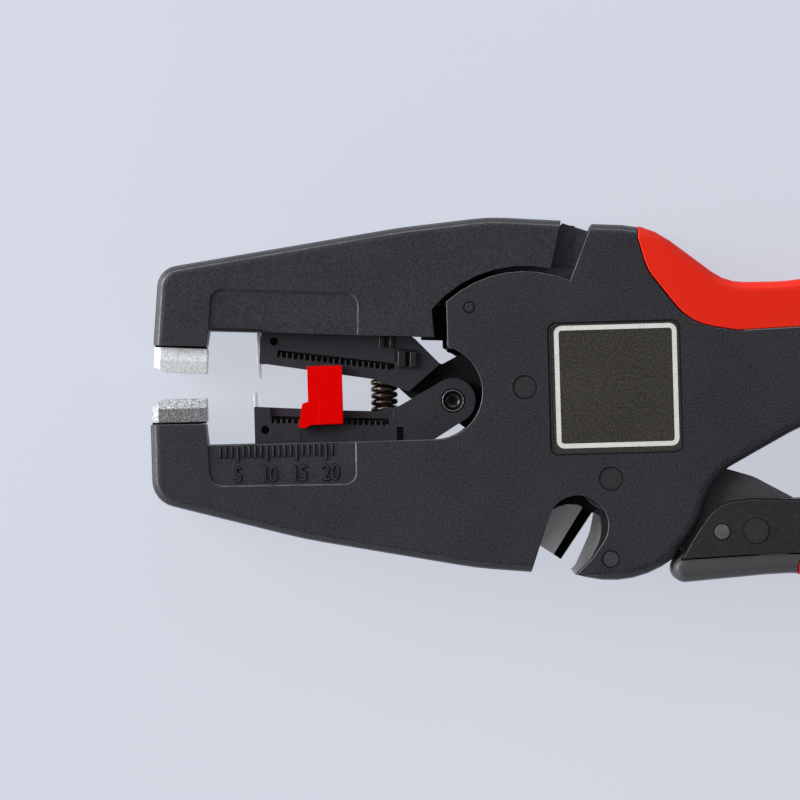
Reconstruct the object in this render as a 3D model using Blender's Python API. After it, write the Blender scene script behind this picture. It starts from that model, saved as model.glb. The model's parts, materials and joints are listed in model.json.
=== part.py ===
"""Automatic wire stripper, lying on its back: jaws towards -X, handles towards +X, front face up.

The jaw pivot's axis is the Z axis and z = 0 is the back face. The tool is posed halfway through a strip:
the jaws hold a 4 mm wire and the inner arms have been pulled back into the head.
"""

import math

import bmesh
import bpy
from mathutils import Vector

# Every size below is in millimetres, and this turns it into metres.
MM = 0.001

# Thicknesses, from the back face up
THICKNESS = 16.0  # housing, back to front
MIDDLE = THICKNESS / 2
SEAM = 0.3  # gap where the two shells meet
BAY_RIGHT = 24.6  # wall that the drive arm swings up to
SKIN = 2.6  # front and back wall over the mechanism
FIT = 0.3  # gap between pieces that touch
JAW_INSET = 0.4  # how far the jaw's faces lie below the housing's
LEVER_INSET = 0.4
RIM = 1.7  # rounding along the outer edges
LEVER_RIM = 1.9
RIM_STEPS = 3

# Motion: what the lever's swing does to the rest, per degree of lever
LEVER_OPEN = 20.0
LEVER_SQUEEZE = 8.0
CARRIAGE_PER_DEGREE = 0.39
ROCKER_PER_DEGREE = 2.0
JAW_REST_ANGLE = 3.55  # how far the upper jaw stands open on the wire, in degrees

# Jaw pivot, at the origin
PIN_R = 2.05
PIN_HEAD = 1.4  # height of a pin's head, which hides the play round its shank
HEAD_STEP = 0.4
JAW_SEAT_R = 19.7  # round edge of the housing that the jaw rides round
JAW_GAP = 0.9
SEAT_LEFT = -12.9  # left edge of the housing below the round edge
JAW_EYE_R = 4.6
SEAT_STEP = 1.2  # the rear halves meet this much further in, so the joint can't be seen through

# Upper jaw, drawn closed, with its underside along X
JAW_FRONT = -63.2
JAW_UNDERSIDE = 7.87
JAW_BLOCK_BOTTOM = 5.0
JAW_BACK = -15.4
JAW_BACK_LEAN = 0.8
JAW_CEILING = 13.6  # top of the channel that the upper arm slides in
JAW_NECK = -5.4
TONGUE_END = 13.0
TONGUE_TOP = 28.1

# Window behind the clamping jaws
WINDOW_FRONT = -54.1
LOWER_EDGE = -8.4
BLOCK_TOP = -4.6

# Lower jaw
FRONT = -63.6
FRONT_BOTTOM = -17.6
CHANNEL_FLOOR = -12.8

# Clamping jaws
CLAMP_WIDTH = 12.0
CLAMP_CHAMFER = 1.9
LOWER_CLAMP_FACE = -0.35
UPPER_CLAMP_FACE = 0.45
CLAMP_SHANK = 4.6
CLAMP_SHANK_DEPTH = 4.4

# Round opening in front of the pivot, where the inner arms run in
OPENING_X = -15.2
OPENING_Y = -0.4
OPENING_R = 8.0
REAR_LEDGE = 0.4  # how much tighter the opening is in the rear shell

# Lever, which turns about its own pin
LEVER_X = 14.2
LEVER_Y = -15.9
HOOK_R = 17.2  # hook of the housing that the lever's toe slides round
SHOULDER_R = 16.5
LEVER_SHOULDER_R = 17.5
LEVER_HEEL_R = 2.3
LEVER_HEEL_ANGLE = -52.0
LEVER_HEAD_R = 5.4
LEVER_DEPTH = 12.6

# Side cutter
NOTCH_X = 8.4
NOTCH_Y = -23.7
NOTCH_R = 5.15
CUTTER_TIP_X = 5.4
CUTTER_TIP_Y = -29.4
CUTTER_SLANT = 54.8
CUTTER_WIDTH = 7.2
FIXED_PIN_X = 13.8
FIXED_PIN_Y = -29.5
FIXED_PIN_R = 1.5

# Steel plates between the cheeks of the jaw frame, in layers up from the back
CHEEK = 1.8
CHEEK_LOW = 3.2
LAYER_GAP = 0.3
PULL_THICK = 1.2
ROCKER_THICK = 1.6
CUTTER_THICK = 2.0
FORK_LOW = CHEEK_LOW + CHEEK
PULL_LOW = FORK_LOW + LAYER_GAP
ROCKER_LOW = PULL_LOW + PULL_THICK + LAYER_GAP
CUTTER_LOW = ROCKER_LOW + ROCKER_THICK + LAYER_GAP
FORK_HIGH = CUTTER_LOW + CUTTER_THICK + LAYER_GAP
CHEEK_HIGH = FORK_HIGH + CHEEK

# Drive: the nose of the cutter plate turns the rocker, and the rocker draws the pull bar
NOSE_X = 2.5
NOSE_Y = 10.0
STUD_X = 1.0
STUD_Y = -11.0
STUD_R = 1.3
DRIVE_PLAY = 0.1
ROCKER_WALL = 1.5
ROCKER_HUB_R = 4.3

# Inner arms, which carry the stripping blades
ARM_LOW = 3.0
ARM_HIGH = 13.0
RIVET_X = -12.2
RIVET_Y = -1.9
RIVET_R = 1.8
RIVET_BORE_R = 1.5
BOSS_R = 3.83
EAR_R = 3.3
ARM_FRONT = -46.0
UPPER_ARM_FRONT = -44.9
ARM_TOP = -2.0
UPPER_ARM_BOTTOM = 5.2
BLADE_THICK = 0.5
BLADE_REACH = 2.4
BLADE_WIDTH = 8.0
BLADE_PIN_R = 0.72
TOOTH_PITCH = 1.0
TOOTH_DEPTH = 0.3
RACK_WIDTH = 1.25
RACK_LENGTH = 20.0
RACK_DEPTH = 2.2
LOWER_RACK_X = -43.1
LOWER_RACK_Y = -4.3
LOWER_RACK_SLOPE = -2.8
UPPER_RACK_SLOPE = -8.1
RAIL_DROP = 0.8

# Spring between the arms
ARM_SPRING_X = -24.0
ARM_SPRING_R = 1.78
ARM_SPRING_WIRE = 0.42
ARM_SPRING_LOW = -4.6
ARM_SPRING_HIGH = 2.6
ARM_SPRING_TURNS = 6

# Length stop
STOP_LEFT = -36.8
STOP_WIDTH = 5.9
STOP_TOP = 4.6
STOP_BOTTOM = -5.35
STOP_PLATE = 1.7
STOP_NOSE = 1.6

# Return spring in the handle
RETURN_X = 27.0
RETURN_R = 1.9
RETURN_WIRE = 0.45
RETURN_LOW = -12.7
RETURN_HIGH = -3.0
RETURN_TURNS = 7

# Label plate and small pins
LABEL_X = 15.35
LABEL_Y = -0.45
LABEL_SIDE = 22.3
LABEL_THICK = 0.6
LABEL_SINK = 0.25
LABEL_CORNER = 1.3
DOWEL_ANGLE = 123.1
DOWEL_INSET = 3.2  # from the round edge that the jaw rides round
DOWEL_R = 1.0
LEVER_PIN_X = 32.8
LEVER_PIN_Y = -25.4
LEVER_PIN_R = 1.45
LEVER_PIN_2_X = 38.6
LEVER_PIN_2_R = 2.0
PANEL_DEPTH = 0.35

# Handles
HANDLE_END = 131.2

for old in list(bpy.data.objects):
    bpy.data.objects.remove(old, do_unlink=True)

parts = bpy.data.collections.new("wire_stripper")
cutters = bpy.data.collections.new("cutters")
bpy.context.scene.collection.children.link(parts)
bpy.context.scene.collection.children.link(cutters)


def material(name, colour, roughness, metallic=0.0):
    """A plain material with the part's colour."""
    made = bpy.data.materials.new(name)
    made.use_nodes = True
    shader = made.node_tree.nodes["Principled BSDF"]
    shader.inputs["Base Color"].default_value = (*colour, 1.0)
    shader.inputs["Roughness"].default_value = roughness
    shader.inputs["Metallic"].default_value = metallic
    return made


CHARCOAL = material("charcoal_plastic", (0.032, 0.031, 0.036), 0.55)
DARK_PLASTIC = material("dark_plastic", (0.022, 0.022, 0.025), 0.5)
STEEL = material("bright_steel", (0.62, 0.62, 0.6), 0.35, 1.0)
BLADE_STEEL = material("blade_steel", (0.22, 0.21, 0.2), 0.4, 1.0)
DARK_STEEL = material("dark_steel", (0.06, 0.06, 0.065), 0.45, 0.8)
SPRING_STEEL = material("spring_steel", (0.16, 0.12, 0.09), 0.35, 1.0)
RED_RUBBER = material("red_rubber", (0.62, 0.035, 0.012), 0.5)
RED_PLASTIC = material("red_plastic", (0.72, 0.004, 0.004), 0.3)
LABEL_GREY = material("label_grey", (0.045, 0.042, 0.033), 0.4)


def arc(x, y, radius, start, end, step=9.0):
    """Points on a round stretch about (x, y), its angles in degrees."""
    count = max(1, math.ceil(abs(end - start) / step))
    angles = [math.radians(start + (end - start) * i / count) for i in range(count + 1)]
    return [(x + radius * math.cos(a), y + radius * math.sin(a)) for a in angles]


def fillet(before, here, after, radius):
    """The round that takes the place of one corner."""
    corner = Vector(here)
    one = Vector(before) - corner
    two = Vector(after) - corner
    half = one.angle(two) / 2
    reach = min(radius / math.tan(half), 0.46 * one.length, 0.46 * two.length)
    middle = corner + (one.normalized() + two.normalized()).normalized() * reach / math.cos(half)
    first = corner + one.normalized() * reach - middle
    last = corner + two.normalized() * reach - middle
    turn = first.angle_signed(last)
    count = max(2, math.ceil(abs(turn) / math.radians(14)))
    points = []
    for i in range(count + 1):
        angle = -turn * i / count
        x = first.x * math.cos(angle) - first.y * math.sin(angle)
        y = first.x * math.sin(angle) + first.y * math.cos(angle)
        points.append((middle.x + x, middle.y + y))
    return points


def outline(items):
    """A closed outline from corners (x, y), rounded corners (x, y, r) and arcs (x, y, r, start, end).

    The words soft and sharp among them say whether the rim from there on is rounded.
    """
    rough = []
    soft = False
    for item in items:
        if isinstance(item, str):
            soft = item == "soft"
        elif len(item) == 5:
            rough += [(point, 0.0, soft) for point in arc(*item)]
        else:
            rough.append((item[:2], item[2] if len(item) == 3 else 0.0, soft))
    points = []
    flags = []
    for i, (here, radius, mark) in enumerate(rough):
        made = [here]
        if radius:
            made = fillet(rough[i - 1][0], here, rough[(i + 1) % len(rough)][0], radius)
        points += made
        flags += [mark] * len(made)
    return points, flags


def ribbon(points, half_width):
    """The outline of a band with round ends along a path."""
    path = [Vector(point) for point in points]
    left = []
    right = []
    for i, here in enumerate(path):
        along = (path[min(i + 1, len(path) - 1)] - path[max(i - 1, 0)]).normalized()
        side = Vector((-along.y, along.x)) * half_width
        left.append((here.x + side.x, here.y + side.y))
        right.append((here.x - side.x, here.y - side.y))
    first = math.degrees(math.atan2(left[-1][1] - path[-1].y, left[-1][0] - path[-1].x))
    last = math.degrees(math.atan2(right[0][1] - path[0].y, right[0][0] - path[0].x))
    front = arc(path[-1].x, path[-1].y, half_width, first, first - 180, 22.5)[1:-1]
    back = arc(path[0].x, path[0].y, half_width, last, last - 180, 22.5)[1:-1]
    return left + front + right[::-1] + back


def join_group(name, mesh, finish, group):
    obj = bpy.data.objects.new(name, mesh)
    group.objects.link(obj)
    if finish:
        mesh.materials.append(finish)
    else:
        obj.hide_render = True
        obj.display_type = "WIRE"
    return obj


def slab(name, shapes, low, high, finish=None):
    """A flat piece, or a cutter if it has no finish, from one outline or an outline and its holes."""
    group = parts if finish else cutters
    curve = bpy.data.curves.new(name, "CURVE")
    curve.dimensions = "2D"
    curve.fill_mode = "BOTH"
    curve.extrude = (high - low) / 2 * MM
    for points in shapes:
        spline = curve.splines.new("POLY")
        spline.points.add(len(points) - 1)
        for point, (x, y) in zip(spline.points, points):
            point.co = (x * MM, y * MM, 0.0, 1.0)
        spline.use_cyclic_u = True
    guide = bpy.data.objects.new(name + "_outline", curve)
    bpy.context.scene.collection.objects.link(guide)
    graph = bpy.context.evaluated_depsgraph_get()
    mesh = bpy.data.meshes.new_from_object(guide.evaluated_get(graph))
    mesh.name = name
    shape = bmesh.new()
    shape.from_mesh(mesh)
    bmesh.ops.remove_doubles(shape, verts=shape.verts, dist=1e-6)
    bmesh.ops.translate(shape, verts=shape.verts, vec=(0, 0, (low + high) / 2 * MM))
    if len(shapes) == 1:
        heights = {e: {round(v.co.z, 7) for face in e.link_faces for v in face.verts} for e in shape.edges}
        bmesh.ops.dissolve_edges(shape, edges=[e for e in shape.edges if len(heights[e]) == 1])
    bmesh.ops.recalc_face_normals(shape, faces=shape.faces)
    shape.to_mesh(mesh)
    shape.free()
    bpy.data.objects.remove(guide, do_unlink=True)
    bpy.data.curves.remove(curve)
    return join_group(name, mesh, finish, group)


def disc(name, x, y, radius, low, high, finish=None, sides=28):
    """A pin, a round plate or a drill, on Z."""
    mesh = bpy.data.meshes.new(name)
    shape = bmesh.new()
    bmesh.ops.create_cone(
        shape,
        cap_ends=True,
        segments=sides,
        radius1=radius * MM,
        radius2=radius * MM,
        depth=(high - low) * MM,
    )
    bmesh.ops.translate(shape, verts=shape.verts, vec=(x * MM, y * MM, (low + high) / 2 * MM))
    shape.to_mesh(mesh)
    shape.free()
    return join_group(name, mesh, finish, parts if finish else cutters)


def box(name, low, high, finish=None):
    """A block between two corners."""
    mesh = bpy.data.meshes.new(name)
    shape = bmesh.new()
    bmesh.ops.create_cube(shape, size=MM)
    size = [b - a for a, b in zip(low, high)]
    middle = [(a + b) / 2 * MM for a, b in zip(low, high)]
    bmesh.ops.scale(shape, verts=shape.verts, vec=size)
    bmesh.ops.translate(shape, verts=shape.verts, vec=middle)
    shape.to_mesh(mesh)
    shape.free()
    return join_group(name, mesh, finish, parts if finish else cutters)


def round_edges(obj, test, width, steps=1):
    """Rounds, or with one step chamfers, the edges that the test picks by their two ends in millimetres."""
    shape = bmesh.new()
    shape.from_mesh(obj.data)
    picked = [e for e in shape.edges if test(e.verts[0].co / MM, e.verts[1].co / MM)]
    bmesh.ops.bevel(
        shape,
        geom=picked,
        offset=width * MM,
        segments=steps,
        profile=0.5,
        affect="EDGES",
        material=-1,
    )
    shape.to_mesh(obj.data)
    shape.free()


def round_rim(obj, points, flags, level, width=RIM, steps=RIM_STEPS):
    """Rounds the rim at one height, along the soft stretches of the outline."""
    soft = {(round(x, 2), round(y, 2)) for (x, y), flag in zip(points, flags) if flag}

    def on_rim(a, b):
        flat = abs(a.z - level) < 0.01 and abs(b.z - level) < 0.01
        ends = [(round(p.x, 2), round(p.y, 2)) for p in (a, b)]
        return flat and all(end in soft for end in ends)

    round_edges(obj, on_rim, width, steps)


def boolean(obj, other, operation):
    change = obj.modifiers.new(other.name, "BOOLEAN")
    change.operation = operation
    change.object = other
    change.solver = "EXACT"


def cut(obj, *tools):
    for tool in tools:
        boolean(obj, tool, "DIFFERENCE")


def weld_on(obj, *extras):
    for extra in extras:
        boolean(obj, extra, "UNION")


def empty(name, x, y, turn=0.0, parent=None):
    """A pivot that moving pieces hang on, at (x, y)."""
    obj = bpy.data.objects.new(name, None)
    parts.objects.link(obj)
    if parent:
        obj.parent = parent
        x -= parent.location.x / MM
        y -= parent.location.y / MM
    obj.location = (x * MM, y * MM, 0)
    obj.rotation_euler = (0, 0, math.radians(turn))
    return obj


def hang(pivot, x, y, *pieces):
    """Gives pieces, drawn about the jaw pivot, their own origin at (x, y) and hangs them there."""
    for piece in pieces:
        for vertex in piece.data.vertices:
            vertex.co -= Vector((x * MM, y * MM, 0))
        piece.parent = pivot
        for change in piece.modifiers:
            tool = change.object
            if tool.parent is None:
                for vertex in tool.data.vertices:
                    vertex.co -= Vector((x * MM, y * MM, 0))
                tool.parent = pivot


def turned(point, degrees, about=(0.0, 0.0)):
    angle = math.radians(degrees)
    x = point[0] - about[0]
    y = point[1] - about[1]
    return (
        about[0] + x * math.cos(angle) - y * math.sin(angle),
        about[1] + x * math.sin(angle) + y * math.cos(angle),
    )


def housing_outline(ledge=0.0, step=0.0):
    """Lower jaw, body, hook and upper handle in one."""
    seat_r = JAW_SEAT_R - step
    seat = math.degrees(math.asin(-SEAT_LEFT / seat_r))
    return outline([
        "soft",
        (FRONT, BLOCK_TOP),
        "sharp",
        (WINDOW_FRONT, BLOCK_TOP, 0.4),
        (WINDOW_FRONT, LOWER_EDGE, 0.4),
        (OPENING_X, OPENING_Y - ledge, OPENING_R - ledge, -90, 73),
        (0, 0, seat_r, 90 + seat, 65.3),
        "soft",
        (12.1, 27.4),
        (21.7, 26.8, 17),
        (34.6, 16.7, 9),
        (45, 16.6, 30),
        (63, 19.2, 45),
        (100, 15.2, 90),
        (121.5, 9.2, 25),
        (HANDLE_END, 2.5, 9),
        (HANDLE_END - 1.6, -9.6, 6),
        (117, -8.4, 30),
        (94, -5.2, 80),
        (62, -4.3, 45),
        (48, -7.2, 25),
        (34.2, -14.5, 2.2),
        (31.4, -17.3, 5),
        (LEVER_X, LEVER_Y, SHOULDER_R, -14, -46),
        (LEVER_X, LEVER_Y, HOOK_R, -53, -105),
        "sharp",
        (7.9, -32.0),
        (10.7, -29.3, 3),
        (NOTCH_X, NOTCH_Y, NOTCH_R, -36, 155),
        "soft",
        (0.3, -31.35),
        (-9, -30.4, 60),
        (-38, -24.7, 80),
        (FRONT, FRONT_BOTTOM, 4.6),
    ])


def jaw_outline(step=0.0):
    """The upper jaw's cover, drawn closed."""
    seat = JAW_SEAT_R + JAW_GAP - step
    back = math.degrees(math.acos((JAW_BACK - JAW_BACK_LEAN) / seat))
    return outline([
        "soft",
        (JAW_FRONT, JAW_BLOCK_BOTTOM),
        (-62.8, 18.0, 3.7),
        (-22, 26.4, 80),
        (-7, 28.7, 30),
        (5.2, 28.5),
        "sharp",
        (0, 0, seat, 79.5, back),
        (JAW_BACK, JAW_UNDERSIDE, 0.4),
        (WINDOW_FRONT + 0.1, JAW_UNDERSIDE, 0.4),
        (WINDOW_FRONT + 0.1, JAW_BLOCK_BOTTOM, 0.4),
    ])


def lever_outline():
    """The part of the lever that is as thick as a handle."""
    top = -20.0
    heel = arc(LEVER_X, LEVER_Y, LEVER_SHOULDER_R + LEVER_HEEL_R, LEVER_HEEL_ANGLE, LEVER_HEEL_ANGLE)[0]
    return outline([
        "soft",
        (*heel, LEVER_HEEL_R, -87, LEVER_HEEL_ANGLE - 180),
        (LEVER_X, LEVER_Y, LEVER_SHOULDER_R, LEVER_HEEL_ANGLE + 3, -25),
        (33.8, -20.5, 4.5),
        (48, top, 30),
        (HANDLE_END - 1, top - 6.8, 5),
        (HANDLE_END - 1, top - 6.8 - LEVER_DEPTH, 6),
        (44, top - LEVER_DEPTH, 60),
    ])


def web_outline():
    """The thinner part of the lever, which runs in between the housing's walls."""
    return outline([
        (LEVER_X, LEVER_Y, LEVER_HEAD_R, 52, 300),
        (27.5, -29.8, 1),
        (46, -26, 1),
        (47, -21.0, 3),
        (38.5, -16.2, 8),
        (34.4, -14.9, 0.8),
    ])[0]


def swept(x, y, x_per_degree, turn_per_degree, about=(0.0, 0.0)):
    """Where a point that moves with the lever lies, seen from a piece that turns with it too."""
    path = []
    steps = 7
    for i in range(steps + 1):
        lever = -LEVER_SQUEEZE + (LEVER_OPEN + LEVER_SQUEEZE) * i / steps
        here = turned((x, y), -lever, about) if about != (0.0, 0.0) else (x + x_per_degree * lever, y)
        path.append(turned(here, turn_per_degree * lever))
    return path


def shell(name, low, high, rim_level, ledge=0.0, step=0.0):
    points, flags = housing_outline(ledge, step)
    obj = slab(name, [points], low, high, CHARCOAL)
    round_rim(obj, points, flags, rim_level)
    return obj


def make_housing():
    """Two shells with the bays for the mechanism, the pins through both, and what is fixed to them."""
    front = shell("housing_front_shell", MIDDLE + SEAM / 2, THICKNESS, THICKNESS)
    rear = shell("housing_rear_shell", 0.0, MIDDLE - SEAM / 2, 0.0, REAR_LEDGE, SEAT_STEP)
    bay_low = SKIN
    bay_high = THICKNESS - SKIN
    tongue_r = math.hypot(TONGUE_END, TONGUE_TOP - 2.3) + 0.6
    drive_bay = slab("drive_bay", [outline([
        (-22, -13.2, 0),
        (-11, -14.2, 2),
        (-9.5, -17.0, 2),
        (LEVER_X, LEVER_Y, HOOK_R + FIT, 184, 236),
        (NOTCH_X, NOTCH_Y, NOTCH_R - 1, 230, -20),
        (LEVER_X, LEVER_Y, LEVER_HEAD_R + 0.8, -100, -84),
        (19.2, -32.4),
        (22, -36),
        (44, -36),
        (52, -13),
        (43.5, -9.4),
        (34.5, -11.0, 3),
        (BAY_RIGHT, -8.6, 2),
        (BAY_RIGHT, 9.6, 3),
        (19.8, 16.4, 2),
        (0, 0, tongue_r, 52, 71),
        (-6.2, 26.0),
        (-7.6, 7.0, 1),
        (-22, 7.0),
    ])[0]], bay_low, bay_high)
    arm_channel = box("arm_channel", (WINDOW_FRONT + 0.3, CHANNEL_FLOOR, bay_low), (-13.2, LOWER_EDGE + 1, bay_high))
    spring_well = box("spring_well", (RETURN_X - 2.9, -12.0, 5.0), (RETURN_X + 2.9, RETURN_HIGH + FIT, 11.0))
    blade_bed = slab("blade_bed", [fixed_blade_outline(FIT)], ROCKER_LOW - 0.4 - FIT, CUTTER_LOW)
    clamp_bed = box(
        "lower_clamp_bed",
        (lower_shank()[0] - FIT, BLOCK_TOP - CLAMP_SHANK_DEPTH - FIT, MIDDLE - CLAMP_SHANK / 2 - FIT),
        (lower_shank()[1] + FIT, BLOCK_TOP + 1, MIDDLE + CLAMP_SHANK / 2 + FIT),
    )
    holes = [
        *pin_hole("jaw_pin_hole", 0, 0, PIN_R, THICKNESS),
        *pin_hole("lever_pin_hole", LEVER_X, LEVER_Y, PIN_R, THICKNESS),
        *pin_hole("blade_pin_hole", FIXED_PIN_X, FIXED_PIN_Y, FIXED_PIN_R, THICKNESS),
        *pin_hole("dowel_hole", *dowel_place(), DOWEL_R, THICKNESS, 20),
    ]
    for half in (front, rear):
        cut(half, drive_bay, arm_channel, spring_well, blade_bed, clamp_bed, grip_bed(), *holes)
    label_recess = slab("label_recess", [label_outline(0.35)], THICKNESS - LABEL_THICK - LABEL_SINK, THICKNESS + 1)
    scale_panel = slab("scale_panel", [outline([
        (WINDOW_FRONT + 0.2, LOWER_EDGE + 1),
        (WINDOW_FRONT + 0.2, -15.3, 2.4),
        (-28.9, -15.6, 2.0),
        (-28.9, LOWER_EDGE + 1),
    ])[0]], THICKNESS - PANEL_DEPTH, THICKNESS + 1)
    cut(front, label_recess, scale_panel)

    headed_pin("jaw_pivot_pin", 0, 0, PIN_R, 0.0, THICKNESS - 0.1)
    headed_pin("lever_pivot_pin", LEVER_X, LEVER_Y, PIN_R, 0.1, THICKNESS - 0.1)
    headed_pin("fixed_blade_pin", FIXED_PIN_X, FIXED_PIN_Y, FIXED_PIN_R, 0.1, THICKNESS - 0.1, 24)
    headed_pin("shell_dowel", *dowel_place(), DOWEL_R, 0.1, THICKNESS - 0.2, 20)
    plate_top = THICKNESS - LABEL_SINK
    slab("label_plate", [label_outline(0.0)], plate_top - LABEL_THICK + 0.25, plate_top, LABEL_GREY)
    blade = slab("fixed_cutter_blade", [fixed_blade_outline(0.0)], ROCKER_LOW - 0.4, CUTTER_LOW - LAYER_GAP, BLADE_STEEL)
    cut(blade, disc("fixed_blade_hole", FIXED_PIN_X, FIXED_PIN_Y, bore_r(FIXED_PIN_R), 0, THICKNESS, sides=24))


def bore_r(radius):
    """Bore round the shank of a pin whose head has this radius."""
    return radius - HEAD_STEP + FIT


def pin_hole(name, x, y, radius, top, sides=28):
    """A bore for the shank and a counterbore for the head, open towards the front."""
    return [
        disc(name, x, y, bore_r(radius), -1, top + 1, sides=sides),
        disc(name + "_head", x, y, radius + FIT, top - 0.1 - PIN_HEAD - FIT, top + 1, sides=sides),
    ]


def headed_pin(name, x, y, radius, low, high, sides=28):
    pin = disc(name, x, y, radius, high - PIN_HEAD, high, DARK_STEEL, sides)
    weld_on(pin, disc(name + "_shank", x, y, radius - HEAD_STEP, low, high - PIN_HEAD / 2, sides=sides))
    return pin


def dowel_place():
    return arc(0, 0, JAW_SEAT_R - DOWEL_INSET, DOWEL_ANGLE, DOWEL_ANGLE)[0]


def label_outline(margin):
    half = LABEL_SIDE / 2 + margin
    return outline([
        (LABEL_X - half, LABEL_Y - half, LABEL_CORNER),
        (LABEL_X + half, LABEL_Y - half, LABEL_CORNER),
        (LABEL_X + half, LABEL_Y + half, LABEL_CORNER),
        (LABEL_X - half, LABEL_Y + half, LABEL_CORNER),
    ])[0]


def fixed_blade_outline(margin):
    """The crescent blade in the hook, whose hollow edge faces the moving one."""
    return outline([
        (7.4 - margin, -31.4 - margin),
        (8.9 - margin, -28.4, 4),
        (10.5 - margin, -25.0, 6),
        (11.2 - margin, -21.7 + margin),
        (12.6 + margin, -22.2 + margin),
        (15.9 + margin, -25.0 + margin),
        (17.0 + margin, -30.0, 1),
        (13.6, -32.0 + 0.3 - margin, 2),
    ])[0]


def lower_shank():
    middle = (FRONT + WINDOW_FRONT) / 2
    return middle - CLAMP_SHANK / 2, middle + CLAMP_SHANK / 2


def clamp(name, front, back, seat, face, grow, bed=None):
    """A clamping jaw: a block that shows, with its wire side chamfered, on a shank in the plastic."""
    lean = 0.9 if grow > 0 else 0.7
    block = slab(name, [outline([
        (front, seat),
        (front, face + lean * grow, 0.3),
        (front + 2.1, face),
        (back, face),
        (back, seat),
    ])[0]], MIDDLE - CLAMP_WIDTH / 2, MIDDLE + CLAMP_WIDTH / 2, STEEL)
    ends = (MIDDLE - CLAMP_WIDTH / 2, MIDDLE + CLAMP_WIDTH / 2)

    def on_face(a, b):
        level = abs(a.y - face) < 0.01 and abs(b.y - face) < 0.01
        return level and abs(a.z - b.z) < 0.01 and min(abs(a.z - e) for e in ends) < 0.01

    round_edges(block, on_face, CLAMP_CHAMFER)
    middle = (front + back) / 2
    depth = seat + grow * (CLAMP_SHANK_DEPTH + FIT)
    shank = box(
        name + "_shank",
        (middle - CLAMP_SHANK / 2, min(seat - grow, depth), MIDDLE - CLAMP_SHANK / 2),
        (middle + CLAMP_SHANK / 2, max(seat - grow, depth), MIDDLE + CLAMP_SHANK / 2),
    )
    weld_on(block, shank)
    return block


def make_jaw():
    """The upper jaw, drawn closed and turned open about its pin."""
    points, flags = jaw_outline()
    low = JAW_INSET
    high = THICKNESS - JAW_INSET
    front = slab("jaw_cover_front", [points], MIDDLE + SEAM / 2, high, CHARCOAL)
    round_rim(front, points, flags, high)
    points, flags = jaw_outline(SEAT_STEP)
    rear = slab("jaw_cover_rear", [points], low, MIDDLE - SEAM / 2, CHARCOAL)
    round_rim(rear, points, flags, low)
    channel = box("jaw_channel", (WINDOW_FRONT + 0.6, 6.0, SKIN), (-12.0, JAW_CEILING, THICKNESS - SKIN))
    head_bed = slab("jaw_head_bed", [outline([
        (-11.8, 16.0),
        (-11.8, 25.5, 0.8),
        (3.6, 26.6),
        (3.6, 27.9),
        (20, 27.9),
        (20, 16.0),
    ])[0]], CHEEK_LOW - FIT, CHEEK_HIGH + FIT)
    middle = (JAW_FRONT + 0.2 + WINDOW_FRONT + 0.1) / 2
    clamp_bed = box(
        "upper_clamp_bed",
        (middle - CLAMP_SHANK / 2 - FIT, 4.0, MIDDLE - CLAMP_SHANK / 2 - FIT),
        (middle + CLAMP_SHANK / 2 + FIT, JAW_BLOCK_BOTTOM + CLAMP_SHANK_DEPTH + FIT, MIDDLE + CLAMP_SHANK / 2 + FIT),
    )
    for half in (front, rear):
        cut(half, channel, head_bed, clamp_bed)
    text_panel = slab("text_panel", [outline([
        (-53.9, JAW_UNDERSIDE - 1),
        (-53.9, 14.9, 2.2),
        (-28.8, 15.0, 2.2),
        (-28.6, JAW_UNDERSIDE - 1),
    ])[0]], high - PANEL_DEPTH, high + 1)
    cut(front, text_panel)

    seat = JAW_SEAT_R + JAW_GAP + FIT
    frame = slab("jaw_frame", [outline([
        (0, 0, JAW_EYE_R, 175, 375),
        (9.6, JAW_SEAT_R - 6.2, 8),
        (12.4, JAW_SEAT_R - 0.2, 4),
        (TONGUE_END, TONGUE_TOP - 2.3, 1.0),
        (9.8, TONGUE_TOP - 1.2, 2),
        (5.45, TONGUE_TOP),
        (5.45, TONGUE_TOP - 0.5),
        (3.9, TONGUE_TOP - 0.5),
        (3.9, 26.2),
        (-11.4, 25.1, 0.6),
        (0, 0, seat, 122, 107),
        (JAW_NECK, JAW_SEAT_R - 2.2, 1),
    ])[0]], CHEEK_LOW, CHEEK_HIGH, DARK_STEEL)
    reach = max(math.hypot(*point) for point in nose_track())
    fork = disc("jaw_fork_slot", 0, 0, reach + slot_half() + ROCKER_WALL + 1.2, FORK_LOW, FORK_HIGH, sides=48)
    cut(frame, fork, disc("jaw_eye_hole", 0, 0, bore_r(PIN_R), 0, THICKNESS))

    insert = clamp("upper_clamp_jaw", JAW_FRONT + 0.2, WINDOW_FRONT + 0.1, JAW_BLOCK_BOTTOM - FIT, UPPER_CLAMP_FACE, 1)
    pivot = empty("upper_jaw", 0, 0, -JAW_REST_ANGLE)
    hang(pivot, 0, 0, front, rear, frame, insert)


def make_lower_clamp():
    clamp("lower_clamp_jaw", FRONT + 0.3, WINDOW_FRONT + 0.1, BLOCK_TOP + FIT, LOWER_CLAMP_FACE, -1)


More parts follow.
